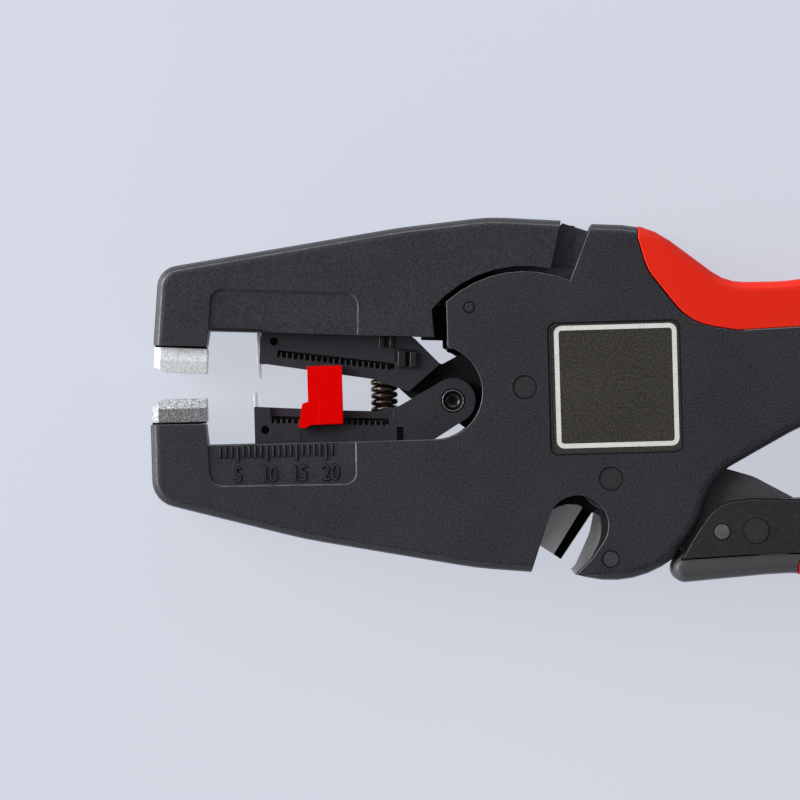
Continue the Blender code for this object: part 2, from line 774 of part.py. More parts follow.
def cutter_outline():
    """The steel plate in the lever: cutter blade, eye, tang and the arm that drives the rocker, in one."""
    along = Vector((math.cos(math.radians(CUTTER_SLANT)), math.sin(math.radians(CUTTER_SLANT))))
    side = Vector((-along.y, along.x))
    tip = Vector((CUTTER_TIP_X, CUTTER_TIP_Y))
    edge_end = tip + along * 11.6
    back = tip + side * CUTTER_WIDTH
    back_end = back + along * 11.0
    return outline([
        (tip.x, tip.y),
        (edge_end.x, edge_end.y),
        (LEVER_X, LEVER_Y, LEVER_HEAD_R - 0.4, -95, -50),
        (26, -20.5, 1),
        (26, -14.5, 1),
        (18.6, -11.6, 2),
        (17.4, 2.0, 5),
        (9.5, 12.0, 6),
        (NOSE_X, NOSE_Y, STUD_R + 0.9, 60, 250),
        (6.6, 7.2, 4),
        (13.0, 0.0, 5),
        (13.0, -8.5, 3),
        (10.4, -12.6, 2),
        (back_end.x, back_end.y, 2),
        (back.x, back.y, 1),
    ])[0]


def make_lever():
    """Lower handle, its grip and pins, and the steel plate that it carries."""
    points, flags = lever_outline()
    low = LEVER_INSET
    high = THICKNESS - LEVER_INSET
    body = slab("lever_body", [points], low, high, CHARCOAL)
    round_rim(body, points, flags, high, LEVER_RIM)
    round_rim(body, points, flags, low, LEVER_RIM)
    web = slab("lever_web", [web_outline()], ARM_LOW, ARM_HIGH)
    weld_on(body, web)
    fork = slab("lever_fork_slot", [outline([
        (LEVER_X - 9, LEVER_Y - 9),
        (LEVER_X + 12.4, LEVER_Y - 9),
        (LEVER_X + 12.4, LEVER_Y + 9),
        (LEVER_X - 9, LEVER_Y + 9),
    ])[0]], CUTTER_LOW - LAYER_GAP, FORK_HIGH)
    bore = disc("lever_bore", LEVER_X, LEVER_Y, bore_r(PIN_R), 0, THICKNESS)
    pin_holes = [
        *pin_hole("lever_pin_hole_small", LEVER_PIN_X, LEVER_PIN_Y, LEVER_PIN_R, high, 24),
        *pin_hole("lever_pin_hole_large", LEVER_PIN_2_X, LEVER_PIN_Y, LEVER_PIN_2_R, high, 24),
    ]
    cut(body, fork, bore, lever_grip_bed(), *pin_holes)
    small = headed_pin("lever_pin_small", LEVER_PIN_X, LEVER_PIN_Y, LEVER_PIN_R, low + 0.1, high - 0.1, 24)
    large = headed_pin("lever_pin_large", LEVER_PIN_2_X, LEVER_PIN_Y, LEVER_PIN_2_R, low + 0.1, high - 0.1, 24)
    plate = slab("moving_cutter_blade", [cutter_outline()], CUTTER_LOW, CUTTER_LOW + CUTTER_THICK, BLADE_STEEL)
    nose = disc("drive_nose", NOSE_X, NOSE_Y, STUD_R, ROCKER_LOW, CUTTER_LOW + 0.5, sides=20)
    weld_on(plate, nose)
    cut(plate, disc("cutter_bore", LEVER_X, LEVER_Y, bore_r(PIN_R), 0, THICKNESS))
    grip = make_lever_grip()
    pivot = empty("lever", LEVER_X, LEVER_Y)
    hang(pivot, LEVER_X, LEVER_Y, body, small, large, plate, grip)


def slot_half():
    return STUD_R + FIT + DRIVE_PLAY


def nose_track():
    return swept(NOSE_X, NOSE_Y, 0.0, ROCKER_PER_DEGREE, (LEVER_X, LEVER_Y))


def make_rocker():
    """The rocker on the jaw pivot, whose two slots follow the nose and the pull bar's stud exactly."""
    nose_path = nose_track()
    stud_path = swept(STUD_X, STUD_Y, -CARRIAGE_PER_DEGREE, ROCKER_PER_DEGREE)
    stud_ends = [min(stud_path, key=lambda p: math.hypot(*p)), max(stud_path, key=lambda p: math.hypot(*p))]
    low = ROCKER_LOW
    high = ROCKER_LOW + ROCKER_THICK
    rocker = disc("rocker", 0, 0, ROCKER_HUB_R, low, high, DARK_STEEL, 36)
    upper = slab("rocker_upper_arm", [ribbon([(0, 2)] + nose_path, slot_half() + ROCKER_WALL)], low, high)
    lower = slab("rocker_lower_arm", [ribbon([(0, -2)] + stud_ends, slot_half() + ROCKER_WALL)], low, high)
    weld_on(rocker, upper, lower)
    cut(
        rocker,
        slab("nose_slot", [ribbon(nose_path, slot_half())], low - 1, high + 1),
        slab("stud_slot", [ribbon(stud_ends, slot_half())], low - 1, high + 1),
        disc("rocker_bore", 0, 0, bore_r(PIN_R), 0, THICKNESS),
    )


def rack(name, start, slope, length, low, high):
    """A slot with toothed sides, cut into an arm's face."""
    half = RACK_WIDTH / 2
    bottom = []
    for i in range(math.floor(length / TOOTH_PITCH)):
        for along, rise in ((0.0, half), (0.35, half), (0.5, half - TOOTH_DEPTH), (0.85, half - TOOTH_DEPTH)):
            x = (i + along) * TOOTH_PITCH
            bottom.append(turned((start[0] + x, start[1] - rise), slope, start))
    first = turned((start[0], start[1] + half), slope, start)
    last = turned((start[0] + length, start[1] + half), slope, start)
    last_low = turned((start[0] + length, start[1] - half), slope, start)
    return slab(name, [[first, last, last_low] + bottom[::-1]], low, high)


def make_carriage():
    """The lower arm with its blade, rivet and pull bar, which slide together, and what rides on them."""
    arm = slab("lower_arm", [outline([
        (ARM_FRONT, ARM_TOP, 0.2),
        (-43.3, ARM_TOP - 0.2),
        (-31.1, -3.05),
        (-25.0, -3.35, 6),
        (-21.4, -2.6, 3),
        (RIVET_X, RIVET_Y, BOSS_R, 118, -52),
        (-17.2, -9.4, 1),
        (-19.0, CHANNEL_FLOOR + FIT, 1),
        (ARM_FRONT, CHANNEL_FLOOR + FIT, 0.5),
    ])[0]], ARM_LOW, ARM_HIGH, DARK_PLASTIC)
    boss_slot = slab("boss_slot", [outline([
        (-21.6, -12.6),
        (-5, -12.6),
        (-5, 6),
        (-19.6, 6),
        (-19.6, -1.0),
    ])[0]], FORK_LOW, FORK_HIGH)
    rivet_hole = disc("rivet_hole", RIVET_X, RIVET_Y, RIVET_R + FIT, MIDDLE, THICKNESS, sides=24)
    shank_hole = disc("shank_hole", RIVET_X, RIVET_Y, bore_r(RIVET_R), 0, MIDDLE + 1, sides=24)
    groove = box("arm_groove", (-21.9, -8.4, ARM_HIGH - 1.2), (-20.7, -6.1, ARM_HIGH + 1))
    rail = slab("lower_rail", [outline([
        (-43.3, -1.6),
        (-22.4, -2.6),
        (-22.4, -4.9),
        (-43.3, -3.9),
    ])[0]], ARM_HIGH - RAIL_DROP, ARM_HIGH + 1)
    teeth = rack("lower_rack", (LOWER_RACK_X, LOWER_RACK_Y), LOWER_RACK_SLOPE, RACK_LENGTH, ARM_HIGH - RACK_DEPTH, ARM_HIGH + 1)
    blade_slot = box(
        "lower_blade_slot",
        (ARM_FRONT - 1, ARM_TOP - 7.2 - FIT, MIDDLE - BLADE_WIDTH / 2 - FIT),
        (ARM_FRONT + BLADE_THICK + FIT, ARM_TOP + 1, MIDDLE + BLADE_WIDTH / 2 + FIT),
    )
    seat = spring_seat("lower_spring_seat", ARM_SPRING_LOW - FIT, -2.0)
    pin_hole = disc("lower_blade_pin_hole", -44.2, -6.0, BLADE_PIN_R, ARM_HIGH - 3, ARM_HIGH + 1, sides=16)
    cut(arm, boss_slot, rivet_hole, shank_hole, groove, rail, teeth, blade_slot, seat, pin_hole)

    blade = box(
        "lower_stripping_blade",
        (ARM_FRONT, ARM_TOP - 7.2, MIDDLE - BLADE_WIDTH / 2),
        (ARM_FRONT + BLADE_THICK, ARM_TOP + BLADE_REACH, MIDDLE + BLADE_WIDTH / 2),
        BLADE_STEEL,
    )
    head_low = PULL_LOW + PULL_THICK + LAYER_GAP
    rivet = disc("arm_rivet", RIVET_X, RIVET_Y, RIVET_R, head_low, ARM_HIGH + 0.2, DARK_STEEL, 24)
    weld_on(rivet, disc("rivet_shank", RIVET_X, RIVET_Y, RIVET_R - HEAD_STEP, ARM_LOW - 0.1, MIDDLE, sides=24))
    cut(rivet, disc("rivet_bore", RIVET_X, RIVET_Y, RIVET_BORE_R, MIDDLE + 0.5, THICKNESS, sides=24))
    bar = slab("pull_bar", [ribbon([(RIVET_X, RIVET_Y), (-7.2, -5.6), (STUD_X, STUD_Y)], 2.6)], PULL_LOW, PULL_LOW + PULL_THICK, DARK_STEEL)
    stud = disc("pull_stud", STUD_X, STUD_Y, STUD_R, PULL_LOW + 0.5, ROCKER_LOW + ROCKER_THICK, sides=20)
    weld_on(bar, stud)
    cut(bar, disc("pull_bar_eye", RIVET_X, RIVET_Y, bore_r(RIVET_R), 0, THICKNESS, sides=24))
    pivot = empty("carriage", RIVET_X, RIVET_Y)
    hang(pivot, RIVET_X, RIVET_Y, arm, blade, rivet, bar)
    spring = coil("arm_spring", ARM_SPRING_R, ARM_SPRING_WIRE, ARM_SPRING_LOW, ARM_SPRING_HIGH, ARM_SPRING_TURNS)
    place_coil(spring, ARM_SPRING_X, pivot, (RIVET_X, RIVET_Y))
    make_upper_arm(pivot)
    make_stop(pivot)


def spring_seat(name, low, high):
    """A round well for the end of the spring between the arms, along Y."""
    well = disc(name, 0, 0, ARM_SPRING_R + ARM_SPRING_WIRE + FIT, low, high, sides=20)
    for vertex in well.data.vertices:
        x, y, z = vertex.co
        vertex.co = (ARM_SPRING_X * MM + x, z, MIDDLE * MM - y)
    return well


def coil(name, radius, wire, low, high, turns):
    """A compression spring on Y, as a round wire along a helix."""
    curve = bpy.data.curves.new(name, "CURVE")
    curve.dimensions = "3D"
    curve.bevel_depth = wire * MM
    curve.bevel_resolution = 1
    curve.use_fill_caps = True
    steps = 12
    count = turns * steps + 1
    spline = curve.splines.new("POLY")
    spline.points.add(count - 1)
    for i, point in enumerate(spline.points):
        angle = 2 * math.pi * i / steps
        rise = low + wire + (high - low - 2 * wire) * i / (count - 1)
        point.co = (radius * math.cos(angle) * MM, rise * MM, radius * math.sin(angle) * MM, 1.0)
    curve.materials.append(SPRING_STEEL)
    obj = bpy.data.objects.new(name, curve)
    parts.objects.link(obj)
    return obj


def place_coil(spring, x, pivot=None, about=(0.0, 0.0)):
    spring.parent = pivot
    spring.location = ((x - about[0]) * MM, -about[1] * MM, MIDDLE * MM)


def make_upper_arm(carriage):
    """The upper arm, which swings about the rivet on an ear between the lower arm's cheeks."""
    arm = slab("upper_arm", [outline([
        (UPPER_ARM_FRONT + 0.7, 14.0, 0.5),
        (UPPER_ARM_FRONT, UPPER_ARM_BOTTOM, 0.3),
        (UPPER_ARM_FRONT + 1.1, UPPER_ARM_BOTTOM),
        (-25.7, 2.15, 3),
        (-19.7, -0.15, 0.4),
        (-14.2, 4.4, 0.4),
        (-18.3, 8.7, 1),
        (-21.0, 10.8, 1),
    ])[0]], ARM_LOW, ARM_HIGH, DARK_PLASTIC)
    ear = slab("upper_arm_ear", [outline([
        (-19.0, 1.2),
        (RIVET_X, RIVET_Y, EAR_R, 215, 405),
        (-14.8, 4.4),
        (-17.0, 6.0),
    ])[0]], ROCKER_LOW, CUTTER_LOW + CUTTER_THICK)
    wing = slab("upper_arm_wing", [outline([
        (-17.0, 2.0),
        (RIVET_X, RIVET_Y, EAR_R, 240, 320),
        (OPENING_X + OPENING_R - 0.1, -2.5, 1),
        (OPENING_X + OPENING_R - 0.1, 4.0, 1),
        (-9.6, 6.5, 0.4),
        (-13.9, 4.35),
        (-16.6, 5.6),
    ])[0]], CUTTER_LOW, CUTTER_LOW + CUTTER_THICK)
    weld_on(arm, ear, wing)
    rivet_hole = disc("ear_hole", RIVET_X, RIVET_Y, RIVET_R + FIT, 0, THICKNESS, sides=24)
    teeth = rack("upper_rack", (-41.8, 6.9), UPPER_RACK_SLOPE, RACK_LENGTH, ARM_HIGH - RACK_DEPTH, ARM_HIGH + 1)
    blade_slot = box(
        "upper_blade_slot",
        (UPPER_ARM_FRONT - 1, UPPER_ARM_BOTTOM - 1, MIDDLE - BLADE_WIDTH / 2 - FIT),
        (UPPER_ARM_FRONT + BLADE_THICK + FIT + 0.1, UPPER_ARM_BOTTOM + 6.0, MIDDLE + BLADE_WIDTH / 2 + FIT),
    )
    seat = spring_seat("upper_spring_seat", 0.5, ARM_SPRING_HIGH + 1.1)
    pin_hole = disc("upper_blade_pin_hole", -42.3, 9.0, BLADE_PIN_R, ARM_HIGH - 3, ARM_HIGH + 1, sides=16)
    cut(arm, rivet_hole, teeth, blade_slot, seat, pin_hole)
    blade = box(
        "upper_stripping_blade",
        (UPPER_ARM_FRONT - 0.3, UPPER_ARM_BOTTOM - BLADE_REACH, MIDDLE - BLADE_WIDTH / 2),
        (UPPER_ARM_FRONT - 0.3 + BLADE_THICK, UPPER_ARM_BOTTOM + 5.7, MIDDLE + BLADE_WIDTH / 2),
        BLADE_STEEL,
    )
    pivot = empty("upper_arm_pivot", RIVET_X, RIVET_Y, 0.0, carriage)
    hang(pivot, RIVET_X, RIVET_Y, arm, blade)


def make_stop(carriage):
    """The red length stop: a plate over both arms, a nose that the wire's end meets and a foot in the rack."""
    right = STOP_LEFT + STOP_WIDTH
    low = ARM_HIGH + FIT
    plate = slab("length_stop", [outline([
        (STOP_LEFT, STOP_TOP, 0.2),
        (STOP_LEFT, -1.4),
        (STOP_LEFT - 1.0, -1.7, 0.4),
        (STOP_LEFT - 1.7, -5.7),
        (STOP_LEFT - 0.6, -5.9, 0.4),
        (STOP_LEFT + 0.4, STOP_BOTTOM),
        (right, STOP_BOTTOM, 0.2),
        (right, STOP_TOP, 0.2),
    ])[0]], low, low + STOP_PLATE, RED_PLASTIC)
    bridge = box("stop_bridge", (STOP_LEFT, -2.4, 10.9), (right, 0.2, low + 0.5))
    nose = box("stop_nose", (STOP_LEFT, -2.35, 4.5), (STOP_LEFT + STOP_NOSE, 0.95, low + 0.5))
    foot_y = LOWER_RACK_Y + (STOP_LEFT - LOWER_RACK_X) * math.tan(math.radians(LOWER_RACK_SLOPE))
    foot = box(
        "stop_foot",
        (STOP_LEFT + 0.7, foot_y - 0.25, ARM_HIGH - RACK_DEPTH + FIT),
        (right - 0.7, foot_y + 0.1, low + 0.5),
    )
    weld_on(plate, bridge, nose, foot)
    pivot = empty("stop_slide", STOP_LEFT, 0, 0.0, carriage)
    hang(pivot, STOP_LEFT, 0, plate)


def grip_bed():
    """What the red inlay takes out of the upper handle, cut with a gap all round."""
    if "grip_bed" in bpy.data.objects:
        return bpy.data.objects["grip_bed"]
    return slab("grip_bed", [grip_outline(FIT)], -1, THICKNESS + 1)


def grip_outline(margin):
    """The red inlay along the top of the upper handle, its upper edge pushed out past the handle."""
    over = 4.0
    return outline([
        (20.3 - margin, 26.0 + over),
        (20.1 - margin, 24.9 - margin, 2),
        (21.5 - margin, 19.6 - margin, 8),
        (28.5 - margin, 10.4 - margin, 10),
        (36.5, 8.9 - margin, 12),
        (60, 9.6 - margin, 40),
        (98, 6.0 - margin, 80),
        (116 + margin, 1.0 - margin, 12),
        (121 + margin, 9.7 + over),
        (100, 15.6 + over, 90),
        (63, 19.4 + over, 45),
        (45, 16.7 + over, 30),
        (34.6, 16.8 + over, 9),
        (22.6, 26.6 + over, 17),
    ])[0]


def make_handle_grip():
    """The soft inlay: the handle's own outline, cut back to the inlay's lower edge."""
    points, flags = housing_outline()
    grip = slab("handle_grip", [points], 0.0, THICKNESS, RED_RUBBER)
    round_rim(grip, points, flags, THICKNESS)
    round_rim(grip, points, flags, 0.0)
    keep = slab("handle_grip_area", [grip_outline(0.0)], -1, THICKNESS + 1)
    boolean(grip, keep, "INTERSECT")


def lever_grip_outline(margin):
    """The red inlay along the lower side of the lever."""
    return outline([
        (46 - margin, -30.2 + margin, 2),
        (52, -28.6 + margin, 8),
        (112, -33.6 + margin, 20),
        (120 + margin, -35.5 + margin, 4),
        (121 + margin, -45),
        (45 - margin, -45),
    ])[0]


def lever_grip_bed():
    return slab("lever_grip_bed", [lever_grip_outline(FIT)], -1, THICKNESS + 1)


def make_lever_grip():
    points, flags = lever_outline()
    low = LEVER_INSET
    high = THICKNESS - LEVER_INSET
    grip = slab("lever_grip", [points], low, high, RED_RUBBER)
    round_rim(grip, points, flags, high, LEVER_RIM)
    round_rim(grip, points, flags, low, LEVER_RIM)
    keep = slab("lever_grip_area", [lever_grip_outline(0.0)], -1, THICKNESS + 1)
    boolean(grip, keep, "INTERSECT")
    return grip


make_housing()
make_handle_grip()
make_lower_clamp()
make_jaw()
make_lever()
make_rocker()
make_carriage()
place_coil(coil("return_spring", RETURN_R, RETURN_WIRE, RETURN_LOW, RETURN_HIGH, RETURN_TURNS), RETURN_X)
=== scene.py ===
"""Looks of the automatic wire stripper: finishes, fine edges, ruler, label frame, springs, light, camera."""

import json
import math

import bmesh
import bpy
from mathutils import Matrix, Vector


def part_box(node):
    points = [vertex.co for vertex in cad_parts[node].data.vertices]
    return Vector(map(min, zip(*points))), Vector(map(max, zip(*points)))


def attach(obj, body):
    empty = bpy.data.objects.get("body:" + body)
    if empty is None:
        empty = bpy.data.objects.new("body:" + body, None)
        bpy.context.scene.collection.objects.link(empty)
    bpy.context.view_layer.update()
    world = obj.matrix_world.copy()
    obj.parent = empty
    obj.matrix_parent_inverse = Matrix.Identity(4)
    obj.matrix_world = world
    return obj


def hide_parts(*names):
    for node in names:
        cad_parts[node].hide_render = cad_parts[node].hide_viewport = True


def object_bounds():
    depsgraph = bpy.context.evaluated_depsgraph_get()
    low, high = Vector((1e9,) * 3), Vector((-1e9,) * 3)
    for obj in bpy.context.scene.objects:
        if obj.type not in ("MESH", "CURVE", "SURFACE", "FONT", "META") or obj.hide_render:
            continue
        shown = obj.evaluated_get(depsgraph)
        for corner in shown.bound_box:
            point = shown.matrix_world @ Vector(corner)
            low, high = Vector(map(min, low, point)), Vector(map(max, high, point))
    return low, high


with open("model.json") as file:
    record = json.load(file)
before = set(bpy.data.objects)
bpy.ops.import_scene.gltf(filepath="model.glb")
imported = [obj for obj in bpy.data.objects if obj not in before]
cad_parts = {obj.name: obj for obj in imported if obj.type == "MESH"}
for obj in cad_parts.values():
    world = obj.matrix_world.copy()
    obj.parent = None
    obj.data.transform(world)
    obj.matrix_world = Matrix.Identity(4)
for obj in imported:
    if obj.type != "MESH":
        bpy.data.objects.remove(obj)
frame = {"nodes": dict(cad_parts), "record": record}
CAD_BOX = [list(corner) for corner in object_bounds()]
MM = 0.001

# The picture: how far the housing lies turned in it, its scale and its width.
ROLL = math.radians(1.6)
PIXELS_PER_MM = 5.9
PICTURE_PIXELS = 800

# Levels of the tool in millimetres over the floor, taken from the frame.
FRONT = CAD_BOX[1][2] / MM
MIDDLE = FRONT / 2

# How the CAD meshes are cleaned and shaded: lengths in metres, angles in degrees.
WELD = 2e-6
ON_PLANE = 1e-7
FLAT_ANGLE = 0.4
EDGE_ANGLE = 28.5
SMOOTH_ANGLE = 40

# Blender's noise has about this many spots to a unit of its scale.
SPOTS_PER_UNIT = 0.7

# Edge rounds are lightened by handling wear and by a painted highlight, lightest on the edges that face this
# way, left and a little to the far side, where the strongest light comes from.
LIT_SIDE = (-0.8, 0.6)

# The upper jaw is drawn closed and rests open by this turn about the jaw pivot at the origin.
JAW_OPEN = math.radians(-3.55)


# Shader helpers


def new_group(name, inputs, outputs):
    """A shader group with its named sockets, given as (name, kind, value)."""
    group = bpy.data.node_groups.new(name, "ShaderNodeTree")
    for label, kind, value in inputs:
        socket = group.interface.new_socket(label, in_out="INPUT", socket_type="NodeSocket" + kind)
        socket.default_value = value
    for label, kind in outputs:
        group.interface.new_socket(label, in_out="OUTPUT", socket_type="NodeSocket" + kind)
    return group, group.nodes.new("NodeGroupInput"), group.nodes.new("NodeGroupOutput")


def node(tree, kind, **settings):
    made = tree.nodes.new("ShaderNode" + kind)
    for name, value in settings.items():
        setattr(made, name, value)
    return made


def feed(tree, value, socket):
    """Links another node's output to a socket, or sets a constant there."""
    if isinstance(value, bpy.types.NodeSocket):
        tree.links.new(value, socket)
    else:
        socket.default_value = value


def maths(tree, operation, a, b):
    made = node(tree, "Math", operation=operation)
    feed(tree, a, made.inputs[0])
    feed(tree, b, made.inputs[1])
    return made.outputs[0]


def times(tree, a, b):
    return maths(tree, "MULTIPLY", a, b)


def plus(tree, a, b):
    return maths(tree, "ADD", a, b)


def swing(tree, noise, strength):
    """Noise about one half turned into a swing about zero."""
    return times(tree, maths(tree, "SUBTRACT", noise, 0.5), strength)


def blend_colours(tree, share, first, second):
    """A Mix node set to colours, whose pair of colour inputs are its sockets 6 and 7 and its output is 2."""
    made = node(tree, "Mix", data_type="RGBA")
    feed(tree, share, made.inputs[0])
    feed(tree, first, made.inputs[6])
    feed(tree, second, made.inputs[7])
    return made.outputs[2]


def speckle(tree, place, size_mm, detail=2.0, roughness=0.6):
    """Even noise whose spots are about size_mm across."""
    made = node(tree, "TexNoise", noise_dimensions="3D")
    made.inputs["Scale"].default_value = SPOTS_PER_UNIT / (size_mm * MM)
    made.inputs["Detail"].default_value = detail
    made.inputs["Roughness"].default_value = roughness
    feed(tree, place, made.inputs["Vector"])
    return made.outputs["Fac"]


def ramp(tree, factor, stops):
    """A grey or coloured ramp from (position, value) stops."""
    made = node(tree, "ValToRGB")
    ends = made.color_ramp.elements
    while len(ends) < len(stops):
        ends.new(0.5)
    for end, (position, value) in zip(ends, stops):
        end.position = position
        end.color = value if isinstance(value, tuple) else (value, value, value, 1.0)
    feed(tree, factor, made.inputs[0])
    return made.outputs[0]


def solid(colour, strength=1.0):
    """A colour made darker or lighter, with its alpha, as a ramp or a socket takes it."""
    return (*(min(1.0, part * strength) for part in colour), 1.0)


def bump(tree, shader, height, depth_mm):
    """Fine relief too shallow for geometry."""
    made = node(tree, "Bump")
    made.inputs["Strength"].default_value = 1.0
    made.inputs["Distance"].default_value = depth_mm * MM
    feed(tree, height, made.inputs["Height"])
    feed(tree, made.outputs[0], shader.inputs["Normal"])


# Shared effects


def moulded_grain():
    """Spark-eroded mould texture: a fine pebble in height, with a little of it in colour and gloss."""
    group, given, out = new_group(
        "moulded_grain",
        [("Place", "Vector", (0, 0, 0)), ("Grain mm", "Float", 0.2), ("Contrast", "Float", 1.0)],
        [("Height", "Float"), ("Shade", "Float"), ("Gloss", "Float")],
    )
    place = given.outputs["Place"]
    scale = maths(group, "DIVIDE", SPOTS_PER_UNIT / MM, given.outputs["Grain mm"])
    pebble = node(group, "TexNoise", noise_dimensions="3D")
    pebble.inputs["Detail"].default_value = 3.0
    pebble.inputs["Roughness"].default_value = 0.65
    cells = node(group, "TexVoronoi", feature="SMOOTH_F1")
    for texture in (pebble, cells):
        feed(group, place, texture.inputs["Vector"])
        feed(group, scale, texture.inputs["Scale"])
    cloud = speckle(group, place, 9.0, 3.0)
    height = plus(group, pebble.outputs["Fac"], times(group, cells.outputs["Distance"], 0.35))
    slow = swing(group, cloud, 0.12)
    both = plus(group, swing(group, pebble.outputs["Fac"], 1.6), slow)
    shade = plus(group, times(group, both, given.outputs["Contrast"]), 1.0)
    feed(group, height, out.inputs["Height"])
    feed(group, shade, out.inputs["Shade"])
    feed(group, slow, out.inputs["Gloss"])
    return group


def edge_wear_and_highlight():
    """Handling polish on worn edges, together with a painted highlight along edge rounds, read from the
    piece's own edge attribute.
    """
    group, given, out = new_group(
        "edge_wear_and_highlight",
        [("Place", "Vector", (0, 0, 0)), ("Amount", "Float", 0.5)],
        [("Mask", "Float")],
    )
    edge = node(group, "Attribute", attribute_name="edge")
    patch = ramp(group, speckle(group, given.outputs["Place"], 2.2, 4.0), [(0.40, 0.35), (0.62, 1.0)])
    mask = times(group, times(group, edge.outputs["Fac"], patch), given.outputs["Amount"])
    feed(group, mask, out.inputs["Mask"])
    return group


GRAIN = moulded_grain()
WEAR_AND_HIGHLIGHT = edge_wear_and_highlight()


# Kinds of finish


def finish(name, roughness, metallic=0.0):
    """A plain material: itself, its tree, its shader and its Object coordinates."""
    made = bpy.data.materials.new(name)
    made.use_nodes = True
    tree = made.node_tree
    shader = tree.nodes["Principled BSDF"]
    shader.inputs["Roughness"].default_value = roughness
    shader.inputs["Metallic"].default_value = metallic
    return made, tree, shader, node(tree, "TexCoord").outputs["Object"]


def moulded_plastic(name, colour, worn_and_lit, roughness, grain_mm, depth_mm, contrast, wear_and_highlight, specular=0.5):
    """Moulded plastic with a fine grain, shade variation, and edges lightened by polish and a painted
    highlight.
    """
    made, tree, shader, place = finish(name, roughness)
    shader.inputs["Specular IOR Level"].default_value = specular
    grain = node(tree, "Group", node_tree=GRAIN)
    grain.inputs["Grain mm"].default_value = grain_mm
    grain.inputs["Contrast"].default_value = contrast
    edges = node(tree, "Group", node_tree=WEAR_AND_HIGHLIGHT)
    edges.inputs["Amount"].default_value = wear_and_highlight
    for effect in (grain, edges):
        feed(tree, place, effect.inputs["Place"])
    mask = edges.outputs["Mask"]
    shaded = node(tree, "VectorMath", operation="SCALE")
    shaded.inputs[0].default_value = colour
    feed(tree, grain.outputs["Shade"], shaded.inputs["Scale"])
    # Edge rounds blend towards a lighter colour: handling wear together with a painted highlight.
    feed(tree, blend_colours(tree, mask, shaded.outputs[0], solid(worn_and_lit)), shader.inputs["Base Color"])
    gloss = plus(tree, plus(tree, grain.outputs["Gloss"], roughness), times(tree, mask, -0.15))
    feed(tree, gloss, shader.inputs["Roughness"])
    bump(tree, shader, grain.outputs["Height"], depth_mm)
    return made


def blasted_metal(name, bright, metallic, contrast, crystal_mm):
    """Bright blasted metal, whose pits and crystals sparkle."""
    made, tree, shader, place = finish(name, 0.38, metallic)
    fine = speckle(tree, place, 0.16, 1.0)
    coarse = speckle(tree, place, 0.34, 2.0)
    flakes = node(tree, "TexVoronoi", feature="F1")
    flakes.inputs["Scale"].default_value = 1.0 / (crystal_mm * MM)
    feed(tree, place, flakes.inputs["Vector"])
    flake = node(tree, "SeparateColor")
    feed(tree, flakes.outputs["Color"], flake.inputs[0])
    mixed = plus(tree, times(tree, fine, 0.5), times(tree, flake.outputs[0], 0.5))
    levels = (bright * (1 - 0.5 * contrast), bright, min(0.97, bright * (1 + 0.6 * contrast)))
    stops = [(at, solid((0.98 * level, level, level))) for at, level in zip((0.2, 0.5, 0.8), levels)]
    feed(tree, ramp(tree, mixed, stops), shader.inputs["Base Color"])
    feed(tree, ramp(tree, coarse, [(0.3, 0.28), (0.7, 0.5)]), shader.inputs["Roughness"])
    bump(tree, shader, plus(tree, fine, flake.outputs[1]), 0.012)
    return made


def ground_steel(name, colour, roughness, slant, contrast, metallic):
    """Ground steel: fine scratches along one direction, crossed by a few longer ones."""
    made, tree, shader, place = finish(name, roughness, metallic)
    turn = node(tree, "Mapping", vector_type="TEXTURE")
    turn.inputs["Rotation"].default_value = (0, 0, math.radians(slant))
    turn.inputs["Scale"].default_value = (16.0, 1.0, 1.0)
    feed(tree, place, turn.inputs["Vector"])
    lines = speckle(tree, turn.outputs[0], 0.07, 3.0, 0.7)
    marks = speckle(tree, turn.outputs[0], 0.4, 2.0)
    smear = times(tree, speckle(tree, place, 3.0, 3.0), 0.3)
    scratches = plus(tree, times(tree, lines, 0.6), times(tree, marks, 0.4))
    dark = solid(colour, 1 - contrast)
    shade = ramp(tree, scratches, [(0.32, dark), (0.68, solid(colour, 1 + contrast))])
    feed(tree, blend_colours(tree, smear, shade, dark), shader.inputs["Base Color"])
    gloss = ramp(tree, scratches, [(0.3, roughness - 0.08), (0.7, roughness + 0.12)])
    feed(tree, gloss, shader.inputs["Roughness"])
    bump(tree, shader, lines, 0.012)
    return made


def blackened_steel(name, colour, roughness, metallic, rubbed=1.7, depth_mm=0.01):
    """Blackened steel with faint turning marks and rubbed spots."""
    made, tree, shader, place = finish(name, roughness, metallic)
    spots = speckle(tree, place, 0.5, 4.0)
    fine = speckle(tree, place, 0.12, 2.0)
    shade = ramp(tree, spots, [(0.35, solid(colour)), (0.75, solid(colour, rubbed))])
    feed(tree, shade, shader.inputs["Base Color"])
    gloss = ramp(tree, fine, [(0.3, roughness - 0.06), (0.7, roughness + 0.1)])
    feed(tree, gloss, shader.inputs["Roughness"])
    bump(tree, shader, fine, depth_mm)
    return made


def printed_ink(name, colour):
    """Screen-printed ink with slightly uneven cover."""
    made, tree, shader, place = finish(name, 0.45)
    cover = speckle(tree, place, 0.6, 3.0)
    shade = ramp(tree, cover, [(0.35, solid(colour, 0.9)), (0.6, solid(colour))])
    feed(tree, shade, shader.inputs["Base Color"])
    bump(tree, shader, cover, 0.01)
    return made


# Finishes of this tool

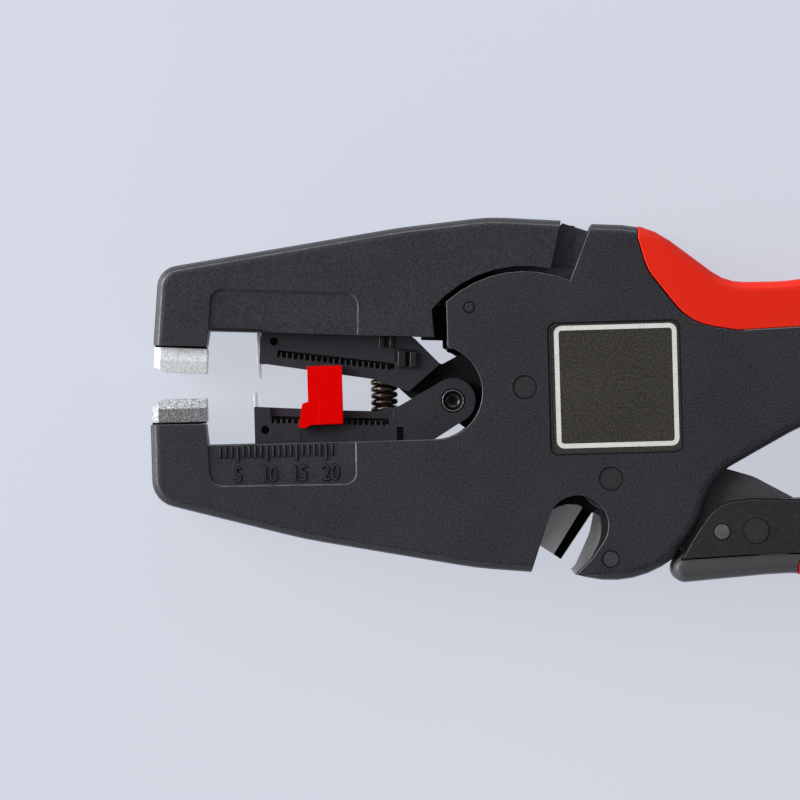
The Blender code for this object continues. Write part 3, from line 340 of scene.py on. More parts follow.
CHARCOAL = moulded_plastic(
    "charcoal_plastic", colour=(0.0160, 0.0144, 0.0190), worn_and_lit=(0.085, 0.080, 0.091), wear_and_highlight=0.85,
    roughness=0.50, grain_mm=0.22, depth_mm=0.040, contrast=2.8,
)
LEVER_PLASTIC = moulded_plastic(
    "lever_plastic", colour=(0.0575, 0.0510, 0.0550), worn_and_lit=(0.095, 0.090, 0.095), wear_and_highlight=0.6,
    roughness=0.46, grain_mm=0.26, depth_mm=0.010, contrast=0.6,
)
LEVER_FACE = moulded_plastic(
    "lever_face_plastic", colour=(0.0105, 0.0090, 0.0112), worn_and_lit=(0.05, 0.046, 0.05), wear_and_highlight=0.6,
    roughness=0.50, grain_mm=0.22, depth_mm=0.030, contrast=2.6,
)
ARM_BLACK = moulded_plastic(
    "arm_plastic", colour=(0.0200, 0.0180, 0.0226), worn_and_lit=(0.05, 0.048, 0.053), wear_and_highlight=0.5,
    roughness=0.42, grain_mm=0.3, depth_mm=0.010, contrast=0.9,
)
# Lighter than the arms' plastic: a painted highlight on the rack ridges' tops.
RIDGE_HIGHLIGHT = moulded_plastic(
    "ridge_highlight_plastic", colour=(0.055, 0.052, 0.056), worn_and_lit=(0.1145, 0.1088, 0.1164), wear_and_highlight=0.0,
    roughness=0.40, grain_mm=0.3, depth_mm=0.006, contrast=0.5,
)
# Darker than the arms' plastic, for the ribs at the back of the upper arm; on the rack slots' floor it is
# painted shade.
RIB_AND_SLOT_SHADE = moulded_plastic(
    "rib_and_slot_shade_plastic", colour=(0.0085, 0.0076, 0.0096), worn_and_lit=(0.04, 0.038, 0.042), wear_and_highlight=0.3,
    roughness=0.42, grain_mm=0.3, depth_mm=0.010, contrast=0.9,
)
FRAME_BLACK = moulded_plastic(
    "frame_black", colour=(0.0400, 0.0350, 0.0460), worn_and_lit=(0.055, 0.052, 0.058), wear_and_highlight=0.5,
    roughness=0.48, grain_mm=0.24, depth_mm=0.030, contrast=2.0,
)
# Near black for painted shade: sheets, rings and plates put where the tool shows only shade.
SHADOW_BLACK = moulded_plastic(
    "painted_shadow_black", colour=(0.0055, 0.0045, 0.0062), worn_and_lit=(0.0205, 0.0186, 0.0218), wear_and_highlight=0.0,
    roughness=0.60, grain_mm=0.3, depth_mm=0.006, contrast=0.6, specular=0.2,
)
SOFT_RED = moulded_plastic(
    "soft_red", colour=(0.665, 0.0125, 0.0010), worn_and_lit=(0.75, 0.03, 0.01), wear_and_highlight=0.15,
    roughness=0.58, grain_mm=0.12, depth_mm=0.010, contrast=0.16, specular=0.22,
)
STOP_RED = moulded_plastic(
    "stop_red", colour=(0.585, 0.0003, 0.0003), worn_and_lit=(0.80, 0.01, 0.01), wear_and_highlight=0.1,
    roughness=0.42, grain_mm=0.5, depth_mm=0.004, contrast=0.08, specular=0.04,
)
LABEL_GREY = moulded_plastic(
    "label_grey", colour=(0.0255, 0.0219, 0.0181), worn_and_lit=(0.06, 0.055, 0.05), wear_and_highlight=0.3,
    roughness=0.50, grain_mm=0.24, depth_mm=0.020, contrast=2.8,
)
UPPER_CLAMP = blasted_metal(
    "bright_blasted_metal", bright=0.74, metallic=0.12, contrast=0.50, crystal_mm=0.20
)
LOWER_CLAMP = blasted_metal(
    "blasted_metal", bright=0.285, metallic=0.70, contrast=1.45, crystal_mm=0.15
)
CHAMFER_STEEL = ground_steel(
    "chamfer_steel", colour=(0.95, 0.955, 0.96), roughness=0.22, slant=90, contrast=0.03, metallic=1.0
)
CUTTER_STEEL = ground_steel(
    "ground_steel", colour=(0.93, 0.885, 0.855), roughness=0.38, slant=54.8, contrast=0.25, metallic=0.04
)
STRIP_STEEL = ground_steel(
    "stripping_steel", colour=(0.64, 0.66, 0.71), roughness=0.30, slant=90, contrast=0.06, metallic=0.35
)
# Near black: the painted dark reflection of the blade's ground bevel.
BEVEL_REFLECTION = blackened_steel("bevel_reflection_steel", colour=(0.004, 0.004, 0.005), roughness=0.22, metallic=0.9)
PIN_STEEL = blackened_steel("pin_steel", colour=(0.0180, 0.0170, 0.0190), roughness=0.5, metallic=0.25)
LIGHT_PIN = blackened_steel("light_pin_steel", colour=(0.062, 0.060, 0.061), roughness=0.55, metallic=0.1)
BLADE_PIN = blackened_steel("blade_pin_steel", colour=(0.040, 0.039, 0.042), roughness=0.45, metallic=0.3)
PLATE_STEEL = blackened_steel("plate_steel", colour=(0.05, 0.048, 0.05), roughness=0.42, metallic=0.7)
RIVET_STEEL = blackened_steel(
    "rivet_steel", colour=(0.50, 0.485, 0.475), roughness=0.28, metallic=0.9, rubbed=1.15, depth_mm=0.002
)
# Near black for the rivet's bore: painted shade.
BORE_SHADE = blackened_steel(
    "bore_shade_black", colour=(0.010, 0.009, 0.010), roughness=0.18, metallic=0.3, rubbed=1.1, depth_mm=0.002
)
COIL_STEEL = blackened_steel(
    "coil_steel", colour=(0.20, 0.162, 0.130), roughness=0.27, metallic=1.0, rubbed=1.25, depth_mm=0.002
)
INK = printed_ink("label_ink", colour=(0.65, 0.63, 0.595))


# Pieces and what they stand for


def body_of(name):
    for body, names in frame["record"]["behaviour"]["bodies"].items():
        if name in names:
            return body
    return None


def slot_of(name):
    for entry in frame["record"]["subparts"]:
        if entry["node"] == name:
            return entry["material_slot"]
    return None


def centre_of(name):
    """The middle of a CAD node seen from the front, in millimetres."""
    low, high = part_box(name)
    return (low.x + high.x) / 2 / MM, (low.y + high.y) / 2 / MM


def settle(piece, material, body, slot, *replaced):
    """Gives a finished piece its material and its body, and hides the nodes that it stands for. Its slot is
    not used.
    """
    piece.data.materials.clear()
    piece.data.materials.append(material)
    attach(piece, body)
    if replaced:
        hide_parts(*replaced)
    return piece


def placed(name, data):
    """An object of a mesh, curve, light or camera, added to the scene."""
    made = bpy.data.objects.new(name, data)
    bpy.context.scene.collection.objects.link(made)
    return made


def piece_from(shape, name):
    """An object of what was built in a bmesh, which is then freed."""
    mesh = bpy.data.meshes.new(name)
    shape.to_mesh(mesh)
    shape.free()
    return placed(name, mesh)


def mesh_of(curve, name):
    """The mesh of a curve or of words, which are not kept themselves."""
    guide = placed(name, curve)
    mesh = bpy.data.meshes.new_from_object(guide.evaluated_get(bpy.context.evaluated_depsgraph_get()))
    bpy.data.objects.remove(guide, do_unlink=True)
    return mesh


def evened(piece, smooth_angle=SMOOTH_ANGLE):
    """Lets each large flat face set the shading at its corners, so it looks flat up to its rounded rim."""
    piece.data.set_sharp_from_angle(angle=math.radians(smooth_angle))
    normals = piece.modifiers.new("evened", "WEIGHTED_NORMAL")
    normals.weight = 90
    normals.keep_sharp = True


def finished(shape, name, material, body, slot, *replaced, smooth_angle=SMOOTH_ANGLE):
    """The piece made of a shape, shaded, dressed and put on its body."""
    piece = piece_from(shape, name)
    evened(piece, smooth_angle)
    return settle(piece, material, body, slot, *replaced)


# Forms to build with, all in millimetres and degrees


def lift(shape, faces, height):
    """Pulls faces up by a height, which gives them walls."""
    pulled = bmesh.ops.extrude_face_region(shape, geom=faces)
    top = [v for v in pulled["geom"] if isinstance(v, bmesh.types.BMVert)]
    bmesh.ops.translate(shape, verts=top, vec=(0, 0, height * MM))


def raised(shape, corners, low, high):
    """A flat raised form on Z from its corners, added to a mesh."""
    face = shape.faces.new([shape.verts.new((x * MM, y * MM, low * MM)) for x, y in corners])
    lift(shape, [face], high - low)


def block(shape, centre, size, turn=0.0):
    """A box by its centre and size, turned on Z, added to a mesh."""
    made = bmesh.ops.create_cube(shape, size=1.0)["verts"]
    bmesh.ops.scale(shape, verts=made, vec=[s * MM for s in size])
    bmesh.ops.rotate(shape, verts=made, matrix=Matrix.Rotation(math.radians(turn), 3, "Z"))
    bmesh.ops.translate(shape, verts=made, vec=[c * MM for c in centre])


def edges_over(shape, angle):
    """The edges whose two faces meet at more than an angle in degrees."""
    limit = math.radians(angle)
    return [e for e in shape.edges if len(e.link_faces) == 2 and e.calc_face_angle(0) > limit]


def soften(shape, width, steps=2):
    """Turns the faces out and breaks the edges."""
    bmesh.ops.recalc_face_normals(shape, faces=shape.faces)
    bmesh.ops.bevel(
        shape,
        geom=edges_over(shape, EDGE_ANGLE),
        offset=width * MM,
        segments=steps,
        profile=0.5,
        affect="EDGES",
        clamp_overlap=True,
        material=-1,
    )
    for face in shape.faces:
        face.smooth = True


def sliced(shape, point, away):
    """Cuts off what lies beyond a plane through a point, and closes the cut."""
    bmesh.ops.bisect_plane(
        shape,
        geom=shape.verts[:] + shape.edges[:] + shape.faces[:],
        dist=ON_PLANE,
        plane_co=[c * MM for c in point],
        plane_no=away,
        clear_outer=True,
    )
    bmesh.ops.holes_fill(shape, edges=[e for e in shape.edges if e.is_boundary])


def turned(name, profile, centre, material, body, slot, *replaced):
    """A round piece turned from its half profile, given as (radius, height)."""
    shape = bmesh.new()
    points = [shape.verts.new((r * MM, 0, z * MM)) for r, z in profile]
    edges = [shape.edges.new(pair) for pair in zip(points, points[1:])]
    bmesh.ops.spin(
        shape,
        geom=points + edges,
        axis=(0, 0, 1),
        cent=(0, 0, 0),
        angle=2 * math.pi,
        steps=56,
        use_merge=True,
    )
    bmesh.ops.remove_doubles(shape, verts=shape.verts, dist=WELD)
    bmesh.ops.recalc_face_normals(shape, faces=shape.faces)
    bmesh.ops.translate(shape, verts=shape.verts, vec=(centre[0] * MM, centre[1] * MM, 0))
    for face in shape.faces:
        face.smooth = True
    piece = piece_from(shape, name)
    piece.data.set_sharp_from_angle(angle=math.radians(50))
    settle(piece, material, body, slot, *replaced)


def ring(inner, outer, low, high):
    """The half profile of a flat ring."""
    return ((inner, low), (inner, high), (outer, high), (outer, low), (inner, low))


def open_jaw(shape, turn=JAW_OPEN):
    """Turns what is drawn on the closed upper jaw to where that jaw rests."""
    bmesh.ops.rotate(shape, verts=shape.verts, cent=(0, 0, 0), matrix=Matrix.Rotation(turn, 3, "Z"))


def along(start, slope, forward, aside):
    """A point beside a sloping line."""
    angle = math.radians(slope)
    return (
        start[0] + forward * math.cos(angle) - aside * math.sin(angle),
        start[1] + forward * math.sin(angle) + aside * math.cos(angle),
    )


def arc_points(centre, radius, start, end, count):
    """Corners along a round stretch."""
    turns = [math.radians(start + (end - start) * i / count) for i in range(count + 1)]
    return [(centre[0] + radius * math.cos(a), centre[1] + radius * math.sin(a)) for a in turns]


def outset(corners, width):
    """The same outline set out by a width, its corners given clockwise."""
    made = []
    for before, here, after in zip(corners[-1:] + corners[:-1], corners, corners[1:] + corners[:1]):
        sides = []
        for a, b in ((before, here), (here, after)):
            length = math.dist(a, b)
            sides.append(((a[1] - b[1]) / length, (b[0] - a[0]) / length))
        (ax, ay), (bx, by) = sides
        reach = width / (1 + ax * bx + ay * by)
        made.append((here[0] + (ax + bx) * reach, here[1] + (ay + by) * reach))
    return made


# CAD nodes with their edges broken


def wear_and_highlight_of(normal):
    """How much an edge round shows wear and painted highlight: some on every edge, most where it faces the
    lit side.
    """
    aside = math.hypot(normal.x, normal.y)
    towards = (LIT_SIDE[0] * normal.x + LIT_SIDE[1] * normal.y) / aside if aside > 0.05 else 0.0
    return min(1.0, max(0.3, 0.5 + towards))


def crisp(name, material, width, clamped=True, grown=0.0, taller=0.0):
    """The CAD node with a small round on its sharp edges, smooth over its facets, grown or made taller."""
    shape = bmesh.new()
    shape.from_mesh(frame["nodes"][name].data)
    bmesh.ops.remove_doubles(shape, verts=shape.verts, dist=WELD)
    bmesh.ops.dissolve_limit(
        shape, angle_limit=math.radians(FLAT_ANGLE), verts=shape.verts, edges=shape.edges
    )
    if not clamped:
        bmesh.ops.dissolve_degenerate(shape, edges=shape.edges[:], dist=width * MM)
    if grown:
        for vertex in shape.verts:
            vertex.co += vertex.normal * vertex.calc_shell_factor() * grown * MM
    top = max(v.co.z for v in shape.verts) - 0.01 * MM
    for vertex in shape.verts:
        if vertex.co.z > top:
            vertex.co.z += taller * MM
    mark = shape.loops.layers.float.new("edge")
    rounds = bmesh.ops.bevel(
        shape,
        geom=edges_over(shape, EDGE_ANGLE),
        offset=width * MM,
        offset_type="OFFSET",
        segments=2,
        profile=0.5,
        affect="EDGES",
        clamp_overlap=clamped,
        material=-1,
    )
    # Each round's corners carry its share of wear and painted highlight.
    for face in rounds["faces"]:
        for loop in face.loops:
            loop[mark] = wear_and_highlight_of(face.normal)
    for face in shape.faces:
        face.smooth = True
    return finished(shape, name + "_finish", material, body_of(name), slot_of(name), name)


for shell in ("housing_front_shell", "housing_rear_shell", "jaw_cover_front", "jaw_cover_rear"):
    crisp(shell, CHARCOAL, width=0.12, clamped=False)
crisp("lever_body", LEVER_PLASTIC, width=0.12, clamped=False)
crisp("jaw_frame", FRAME_BLACK, width=0.12)
for grip in ("handle_grip", "lever_grip"):
    crisp(grip, SOFT_RED, width=0.2, grown=0.18)
for arm in ("lower_arm", "upper_arm"):
    crisp(arm, ARM_BLACK, width=0.1)
for blade in ("lower_stripping_blade", "upper_stripping_blade"):
    crisp(blade, STRIP_STEEL, width=0.05)
for blade in ("fixed_cutter_blade", "moving_cutter_blade"):
    crisp(blade, CUTTER_STEEL, width=0.06)
for plate in ("rocker", "pull_bar"):
    crisp(plate, PLATE_STEEL, width=0.1)
crisp("length_stop", STOP_RED, width=0.12)
crisp("label_plate", LABEL_GREY, width=0.08)
for pin in ("jaw_pivot_pin", "lever_pivot_pin", "shell_dowel"):
    crisp(pin, PIN_STEEL, width=0.1)
crisp("fixed_blade_pin", BLADE_PIN, width=0.1)
crisp("lever_pin_small", LIGHT_PIN, width=0.12, grown=-0.17, taller=0.62)
crisp("lever_pin_large", PIN_STEEL, width=0.15, grown=0.08, taller=0.38)


# Springs


def wound(name, x, radius, thickness, low, high, turns, begin, lean):
    """A compression spring along Y, wound left-handed from an angle, in place of the CAD's plain coil."""
    steps = 28
    count = round(turns * steps) + 1
    rise = high - low - 2 * thickness
    curve = bpy.data.curves.new(name + "_wire", "CURVE")
    curve.dimensions = "3D"
    curve.bevel_depth = thickness * MM
    curve.bevel_resolution = 4
    curve.use_fill_caps = True
    spline = curve.splines.new("POLY")
    spline.points.add(count - 1)
    for i, point in enumerate(spline.points):
        angle = math.radians(begin) - 2 * math.pi * i / steps
        y = low + thickness + rise * i / (count - 1) - lean * math.cos(angle)
        z = MIDDLE + radius * math.sin(angle)
        point.co = ((x + radius * math.cos(angle)) * MM, y * MM, z * MM, 1.0)
    mesh = mesh_of(curve, name + "_wire")
    for face in mesh.polygons:
        face.use_smooth = True
    settle(placed(name + "_finish", mesh), COIL_STEEL, body_of(name), "spring_steel", name)


wound("arm_spring", -23.85, radius=1.86, thickness=0.46, low=-4.6, high=2.6, turns=5.5, begin=102, lean=0.19)
wound("return_spring", 27.0, radius=1.9, thickness=0.45, low=-12.7, high=-3.0, turns=7, begin=0, lean=0.0)


# Clamping jaws

CLAMP_BACK = -54.0
CLAMP_THICKNESS = 12.0
CLAMP_CHAMFER = 1.0
FRONT_SLOPE = (-0.39, -0.92)
SIDE_SLOPE = (0.50, 0.866)
TENON = (4.6, 4.7, 4.6)
TENON_X = -58.65


def clamp_jaw(name, material, front, face, seat, facet, turn=0.0):
    """A clamping jaw whose gripping side slopes to front and back, with a wide bright chamfer on its end."""
    inwards = 1 if seat > face else -1
    shape = bmesh.new()
    block(
        shape,
        ((front + CLAMP_BACK) / 2, (face + seat) / 2, MIDDLE),
        (CLAMP_BACK - front, abs(seat - face), CLAMP_THICKNESS),
    )
    sliced(shape, (front, face + 0.9 * inwards, MIDDLE), (FRONT_SLOPE[0], FRONT_SLOPE[1] * inwards, 0))
    for up in (1, -1):
        edge = (front, face + facet * inwards, MIDDLE + CLAMP_THICKNESS / 2 * up)
        sliced(shape, edge, (0, -SIDE_SLOPE[0] * inwards, SIDE_SLOPE[1] * up))
    # Only the end's upper edges are chamfered, above the middle of the gripping side's front slope.
    end = (front + 0.01) * MM
    above = (MIDDLE + 4.7) * MM
    rim = [e for e in shape.edges if all(v.co.x < end and v.co.z > above for v in e.verts)]
    bmesh.ops.bevel(
        shape, geom=rim, offset=CLAMP_CHAMFER * MM, segments=1, profile=0.5, affect="EDGES", material=1
    )
    block(shape, (TENON_X, seat + (TENON[1] / 2 - 0.05) * inwards, MIDDLE), TENON)
    soften(shape, width=0.08)
    open_jaw(shape, turn)
    piece = finished(
        shape, name + "_finish", material, body_of(name), slot_of(name), name, smooth_angle=20
    )
    piece.data.materials.append(CHAMFER_STEEL)


clamp_jaw("upper_clamp_jaw", UPPER_CLAMP, front=-63.0, face=0.45, seat=4.7, facet=2.1, turn=JAW_OPEN)
clamp_jaw("lower_clamp_jaw", LOWER_CLAMP, front=-63.3, face=-0.35, seat=-4.3, facet=1.6)


# Arms: racks, ribs, toe and painted shade on the wing

RACK_FLOOR = 10.9
RACK_PITCH = 1.0
RACK_COUNT = 19


def rack_ridges(name, start, slope, middle, width, top, body):
    """Thin ridges across a rack's slot, one to each millimetre, lighter as a painted highlight, over a darker
    floor that is painted shade.
    """
    shape = bmesh.new()
    for i in range(RACK_COUNT):
        x, y = along(start, slope, 0.67 + i * RACK_PITCH, middle)
        block(shape, (x, y, (RACK_FLOOR + top) / 2), (0.17, width, top - RACK_FLOOR), slope)
    soften(shape, width=0.05)
    finished(shape, name, RIDGE_HIGHLIGHT, body, "dark_plastic")
    # A darker plate on the slot's floor: painted shade in the slot.
    shape = bmesh.new()
    x, y = along(start, slope, 9.75, middle)
    block(shape, (x, y, RACK_FLOOR + 0.15), (RACK_COUNT * RACK_PITCH + 0.5, width, 0.5), slope)
    finished(shape, name + "_shade", RIB_AND_SLOT_SHADE, body, "dark_plastic")


rack_ridges("upper_rack_ridges", (-41.8, 6.9), -8.1, middle=-0.15, width=0.95, top=12.6, body="upper_arm")
rack_ridges("lower_rack_ridges", (-43.1, -4.3), -2.8, middle=-0.2, width=0.75, top=12.6, body="carriage")


def upper_arm_ribs():
    """Two pairs of upright rounded ribs over black sheets that are painted shade between them, with ledges,
    at the back of the upper arm.
    """
    upright, arm_slope, sheet_level = -3, -8.1, 13.0
    rib_height, far_top, near_top = 1.2, 13.32, 13.8
    shape = bmesh.new()
    for x, y, width, length, top in (
        (-24.0, 8.55, 0.95, 2.3, far_top),
        (-22.3, 8.45, 0.75, 2.2, far_top),
        (-20.7, 5.4, 1.35, 2.7, near_top),
        (-18.75, 5.25, 1.15, 2.6, near_top),
    ):
        block(shape, (x, y, top - rib_height / 2), (width, length, rib_height), upright)
    for x, y, length, slope in ((-20.9, 7.05, 5.6, arm_slope), (-19.6, 3.9, 3.6, upright)):
        block(shape, (x, y, sheet_level - 0.05), (length, 0.3, 0.5), slope)
    soften(shape, width=0.3, steps=4)
    finished(shape, "upper_arm_ribs", RIB_AND_SLOT_SHADE, "upper_arm", "dark_plastic")
    # Thin black sheets between the ribs: painted shade.
    shape = bmesh.new()
    for x, y, width, length in ((-23.1, 8.5, 1.6, 2.2), (-19.7, 5.3, 2.2, 2.6), (-21.6, 5.9, 0.5, 2.0)):
        block(shape, (x, y, sheet_level), (width, length, 0.06), upright)
    bmesh.ops.recalc_face_normals(shape, faces=shape.faces)
    finished(shape, "rib_shade_sheets", SHADOW_BLACK, "upper_arm", "dark_plastic")


def clamp_seats():
    """Seats that close the play between the clamping jaws and the blocks that hold them, coloured shadow
    black as painted shade in that seam.
    """
    for name, body, x, y, length, turn in (
        ("upper_clamp_seat", "upper_jaw", -58.55, 4.86, 8.7, JAW_OPEN),
        ("lower_clamp_seat", "housing", -58.8, -4.44, 9.0, 0.0),
    ):
        shape = bmesh.new()
        block(shape, (x, y, MIDDLE), (length, 0.4, CLAMP_THICKNESS - 0.6))
        soften(shape, width=0.05)
        open_jaw(shape, turn)
        finished(shape, name, SHADOW_BLACK, body, "charcoal_plastic")


def arm_toe():
    """The upper arm's inner plate, run out below the arm's tip, coloured shadow black as painted shade in the
    gap there.
    """
    toe = [(-21.6, 0.75), (-18.9, 1.6), (-16.6, 1.4), (-16.9, -1.2), (-19.4, -1.35)]
    shape = bmesh.new()
    raised(shape, toe, low=8.7, high=10.66)
    soften(shape, width=0.08)
    finished(shape, "arm_toe", SHADOW_BLACK, "upper_arm", "dark_plastic")


def wing_shade():
    """A matt black skin on the upper arm's sunken wing, drawn from the wing's own top face: painted shade
    over the wing.
    """
    wing_top, skin = 10.7, 0.03
    shape = bmesh.new()
    shape.from_mesh(frame["nodes"]["upper_arm"].data)
    slack = 0.02 * MM
    others = [
        f for f in shape.faces if f.normal.z < 0.9 or abs(f.calc_center_median().z - wing_top * MM) > slack
    ]
    bmesh.ops.delete(shape, geom=others, context="FACES")
    bmesh.ops.remove_doubles(shape, verts=shape.verts, dist=WELD)
    lift(shape, shape.faces[:], skin)
    bmesh.ops.recalc_face_normals(shape, faces=shape.faces)
    finished(shape, "wing_shade", SHADOW_BLACK, "upper_arm", "dark_plastic")


upper_arm_ribs()
clamp_seats()
arm_toe()
wing_shade()


# Lips and roots that shut the joints between the bodies


def back_lips():
    """Thin lips of the rear shell, lapped over the jaw's and the lever's back edges to shut their joints."""
    jaw_lip = [(-12.3, 8.35), (-12.3, 15.6), (-14.6, 16.6), (-17.3, 13.4), (-17.3, 8.6)]
    pivot = centre_of("lever_pivot_pin")
    lever_lip = arc_points(pivot, 15.4, -40, -54, 5) + arc_points(pivot, 17.9, -54, -40, 5)
    shape = bmesh.new()
    for corners in (jaw_lip, lever_lip):
        raised(shape, corners, low=-0.02, high=0.3)
    soften(shape, width=0.08)
    finished(shape, "back_lips", CHARCOAL, "housing", "charcoal_plastic")
    # A shadow-black lip in the arms' opening: painted shade where the inside lies deep.
    opening_shade_lip = [(-13.62, 8.6), (-12.0, 8.6), (-10.8, 6.6), (-11.0, 5.4), (-11.41, 5.64), (-13.65, 7.18)]
    shape = bmesh.new()
    raised(shape, opening_shade_lip, low=0.0, high=0.32)
    soften(shape, width=0.03)
    finished(shape, "opening_shade_lip", SHADOW_BLACK, "housing", "charcoal_plastic")


def tongue_root():
    """Closes the notch between the upper jaw's cover and its steel tongue."""
    shape = bmesh.new()
    raised(shape, [(3.2, 23.0), (7.6, 23.0), (7.6, 27.75), (3.2, 27.85)], low=4.0, high=12.0)
    soften(shape, width=0.1)
    open_jaw(shape)
    finished(shape, "tongue_root", FRAME_BLACK, "upper_jaw", "dark_steel")


def window_edge_shade():
    """A thin black strip along the lower edge of the upper jaw's cover above the stripping window: painted
    shade along that edge.
    """
    shape = bmesh.new()
    block(shape, (-49.3, 8.1, FRONT - 0.04), (9.3, 0.5, 0.12))
    open_jaw(shape)
    finished(shape, "window_edge_shade", SHADOW_BLACK, "upper_jaw", "charcoal_plastic")


back_lips()
tongue_root()
window_edge_shade()


# Rivet, pins and pads


def tubular_rivet():
    """The hollow rivet that the arms turn on: a bright rolled rim round a glossy bore painted near black as
    its shade.
    """
    rim = (
        (1.66, 12.6), (1.66, 13.02), (1.69, 13.12), (1.74, 13.18), (1.80, 13.18),
        (1.85, 13.12), (1.87, 13.0), (1.87, 12.6), (1.66, 12.6),
    )
    cup = (
        (0.0, 8.7), (1.5, 8.7), (1.84, 8.9), (1.84, 12.85), (1.6, 12.85),
        (1.5, 12.5), (1.3, 12.15), (1.0, 11.93), (0.6, 11.8), (0.0, 11.75),
    )
    centre, body, slot = centre_of("arm_rivet"), body_of("arm_rivet"), slot_of("arm_rivet")
    turned("arm_rivet_finish", cup, centre, BORE_SHADE, body, slot, "arm_rivet")
    turned("arm_rivet_rim", rim, centre, RIVET_STEEL, body, slot)


def collars():
    """Flush rings of the housing's plastic close round the pin heads, with a black ring in each as painted
    shade in the gap round the head.
    """
    flush = FRONT + 0.003
    for name, sunk, radius in (
        ("jaw_pivot_pin", 0.1, 2.02),
        ("lever_pivot_pin", 0.1, 2.02),
        ("fixed_blade_pin", 0.1, 1.5),
        ("shell_dowel", 0.2, 1.0),
    ):
        head = FRONT - sunk
        shade_ring = ring(radius - 0.23, radius + 0.08, head - 0.1, head + 0.015)
        collar = ring(radius + 0.05, radius + 0.42, FRONT - 1.0, flush)
        turned(name + "_shade_ring", shade_ring, centre_of(name), SHADOW_BLACK, "housing", "charcoal_plastic")
        turned(name + "_collar", collar, centre_of(name), CHARCOAL, "housing", "charcoal_plastic")


def dowel_head():
    """The dowel's head, with a shallow dimple in it."""
    name = "shell_dowel"
    dimple = (
        (0.0, 15.84), (0.16, 15.85), (0.32, 15.90), (0.68, 15.91), (0.78, 15.86), (0.80, 15.6), (0.0, 15.6)
    )
    turned("dowel_head", dimple, centre_of(name), PIN_STEEL, body_of(name), slot_of(name))


def pads(name, places, low, height, material, body, slot):
    """Faint round pads, given as (x, y, radius)."""
    shape = bmesh.new()
    for x, y, radius in places:
        made = bmesh.ops.create_circle(shape, cap_ends=True, segments=40, radius=radius * MM)["verts"]
        bmesh.ops.translate(shape, verts=made, vec=(x * MM, y * MM, low * MM))
    lift(shape, shape.faces[:], height)
    soften(shape, width=0.05)
    finished(shape, name, material, body, slot)


tubular_rivet()
collars()
dowel_head()
ejector_marks = [(-39.4, -7.35, 1.35), (-28.85, -7.65, 1.35), (-16.3, -4.1, 1.15)]
pads("ejector_pads", ejector_marks, 12.98, 0.09, ARM_BLACK, body="carriage", slot="dark_plastic")
lever_pins = [(*centre_of("lever_pin_small"), 1.52), (*centre_of("lever_pin_large"), 2.32)]
# Black discs under the lever pins' heads: painted shade in the gap round each head.
pads("pin_shade_rings", lever_pins, FRONT - 0.2, 0.09, SHADOW_BLACK, body="lever", slot="charcoal_plastic")


# Lever and length stop


def lever_face():
    """The lever's raised dark field with a black line round it, painted shade along its edge, which leaves a
    smooth lighter rim below.
    """
    heel = [(26.0, -29.8), (27.8, -26.8), (29.2, -24.7), (31.0, -22.3), (32.7, -21.0), (34.4, -20.4)]
    upper = [(37.6, -20.05), (48.0, -20.6), (80.0, -23.4), (104.0, -25.2)]
    end_and_lower = [(105.5, -27.0), (104.5, -29.6), (80.0, -29.6), (60.0, -29.2), (38.0, -29.4)]
    field = heel + upper + end_and_lower
    shape = bmesh.new()
    raised(shape, field, low=15.5, high=15.86)
    soften(shape, width=0.14, steps=3)
    finished(shape, "lever_face", LEVER_FACE, "lever", "charcoal_plastic")
    shape = bmesh.new()
    raised(shape, outset(field, 0.26), low=15.4, high=15.6)
    soften(shape, width=0.03)
    finished(shape, "lever_face_shade_ring", SHADOW_BLACK, "lever", "charcoal_plastic")


def stop_face():
    """The raised field on the length stop's face."""
    field = [(-34.95, -1.6), (-34.95, -4.6), (-34.2, -5.25), (-31.0, -5.25), (-31.0, -1.6)]
    shape = bmesh.new()
    raised(shape, field, low=14.95, high=15.08)
    soften(shape, width=0.05)
    finished(shape, "stop_face", STOP_RED, "stop", "red_plastic")


lever_face()
stop_face()


# Cutting notch

BLADE_TIP = (5.4, -29.4)
BLADE_SLOPE = 54.8
BLADE_TOP = 10.7


def cutting_bevel():
    """A flat near-black sheet along the moving blade's cutting edge, wider towards its heel: the painted dark
    reflection of its ground bevel.
    """
    reach = ((0.05, 0.05), (11.4, 0.05), (11.4, 1.9), (0.05, 1.48))
    corners = [along(BLADE_TIP, BLADE_SLOPE, forward, aside) for forward, aside in reach]
    shape = bmesh.new()
    raised(shape, corners, low=BLADE_TOP - 0.01, high=BLADE_TOP + 0.02)
    bmesh.ops.recalc_face_normals(shape, faces=shape.faces)
    finished(shape, "cutting_bevel", BEVEL_REFLECTION, "lever", "blade_steel")


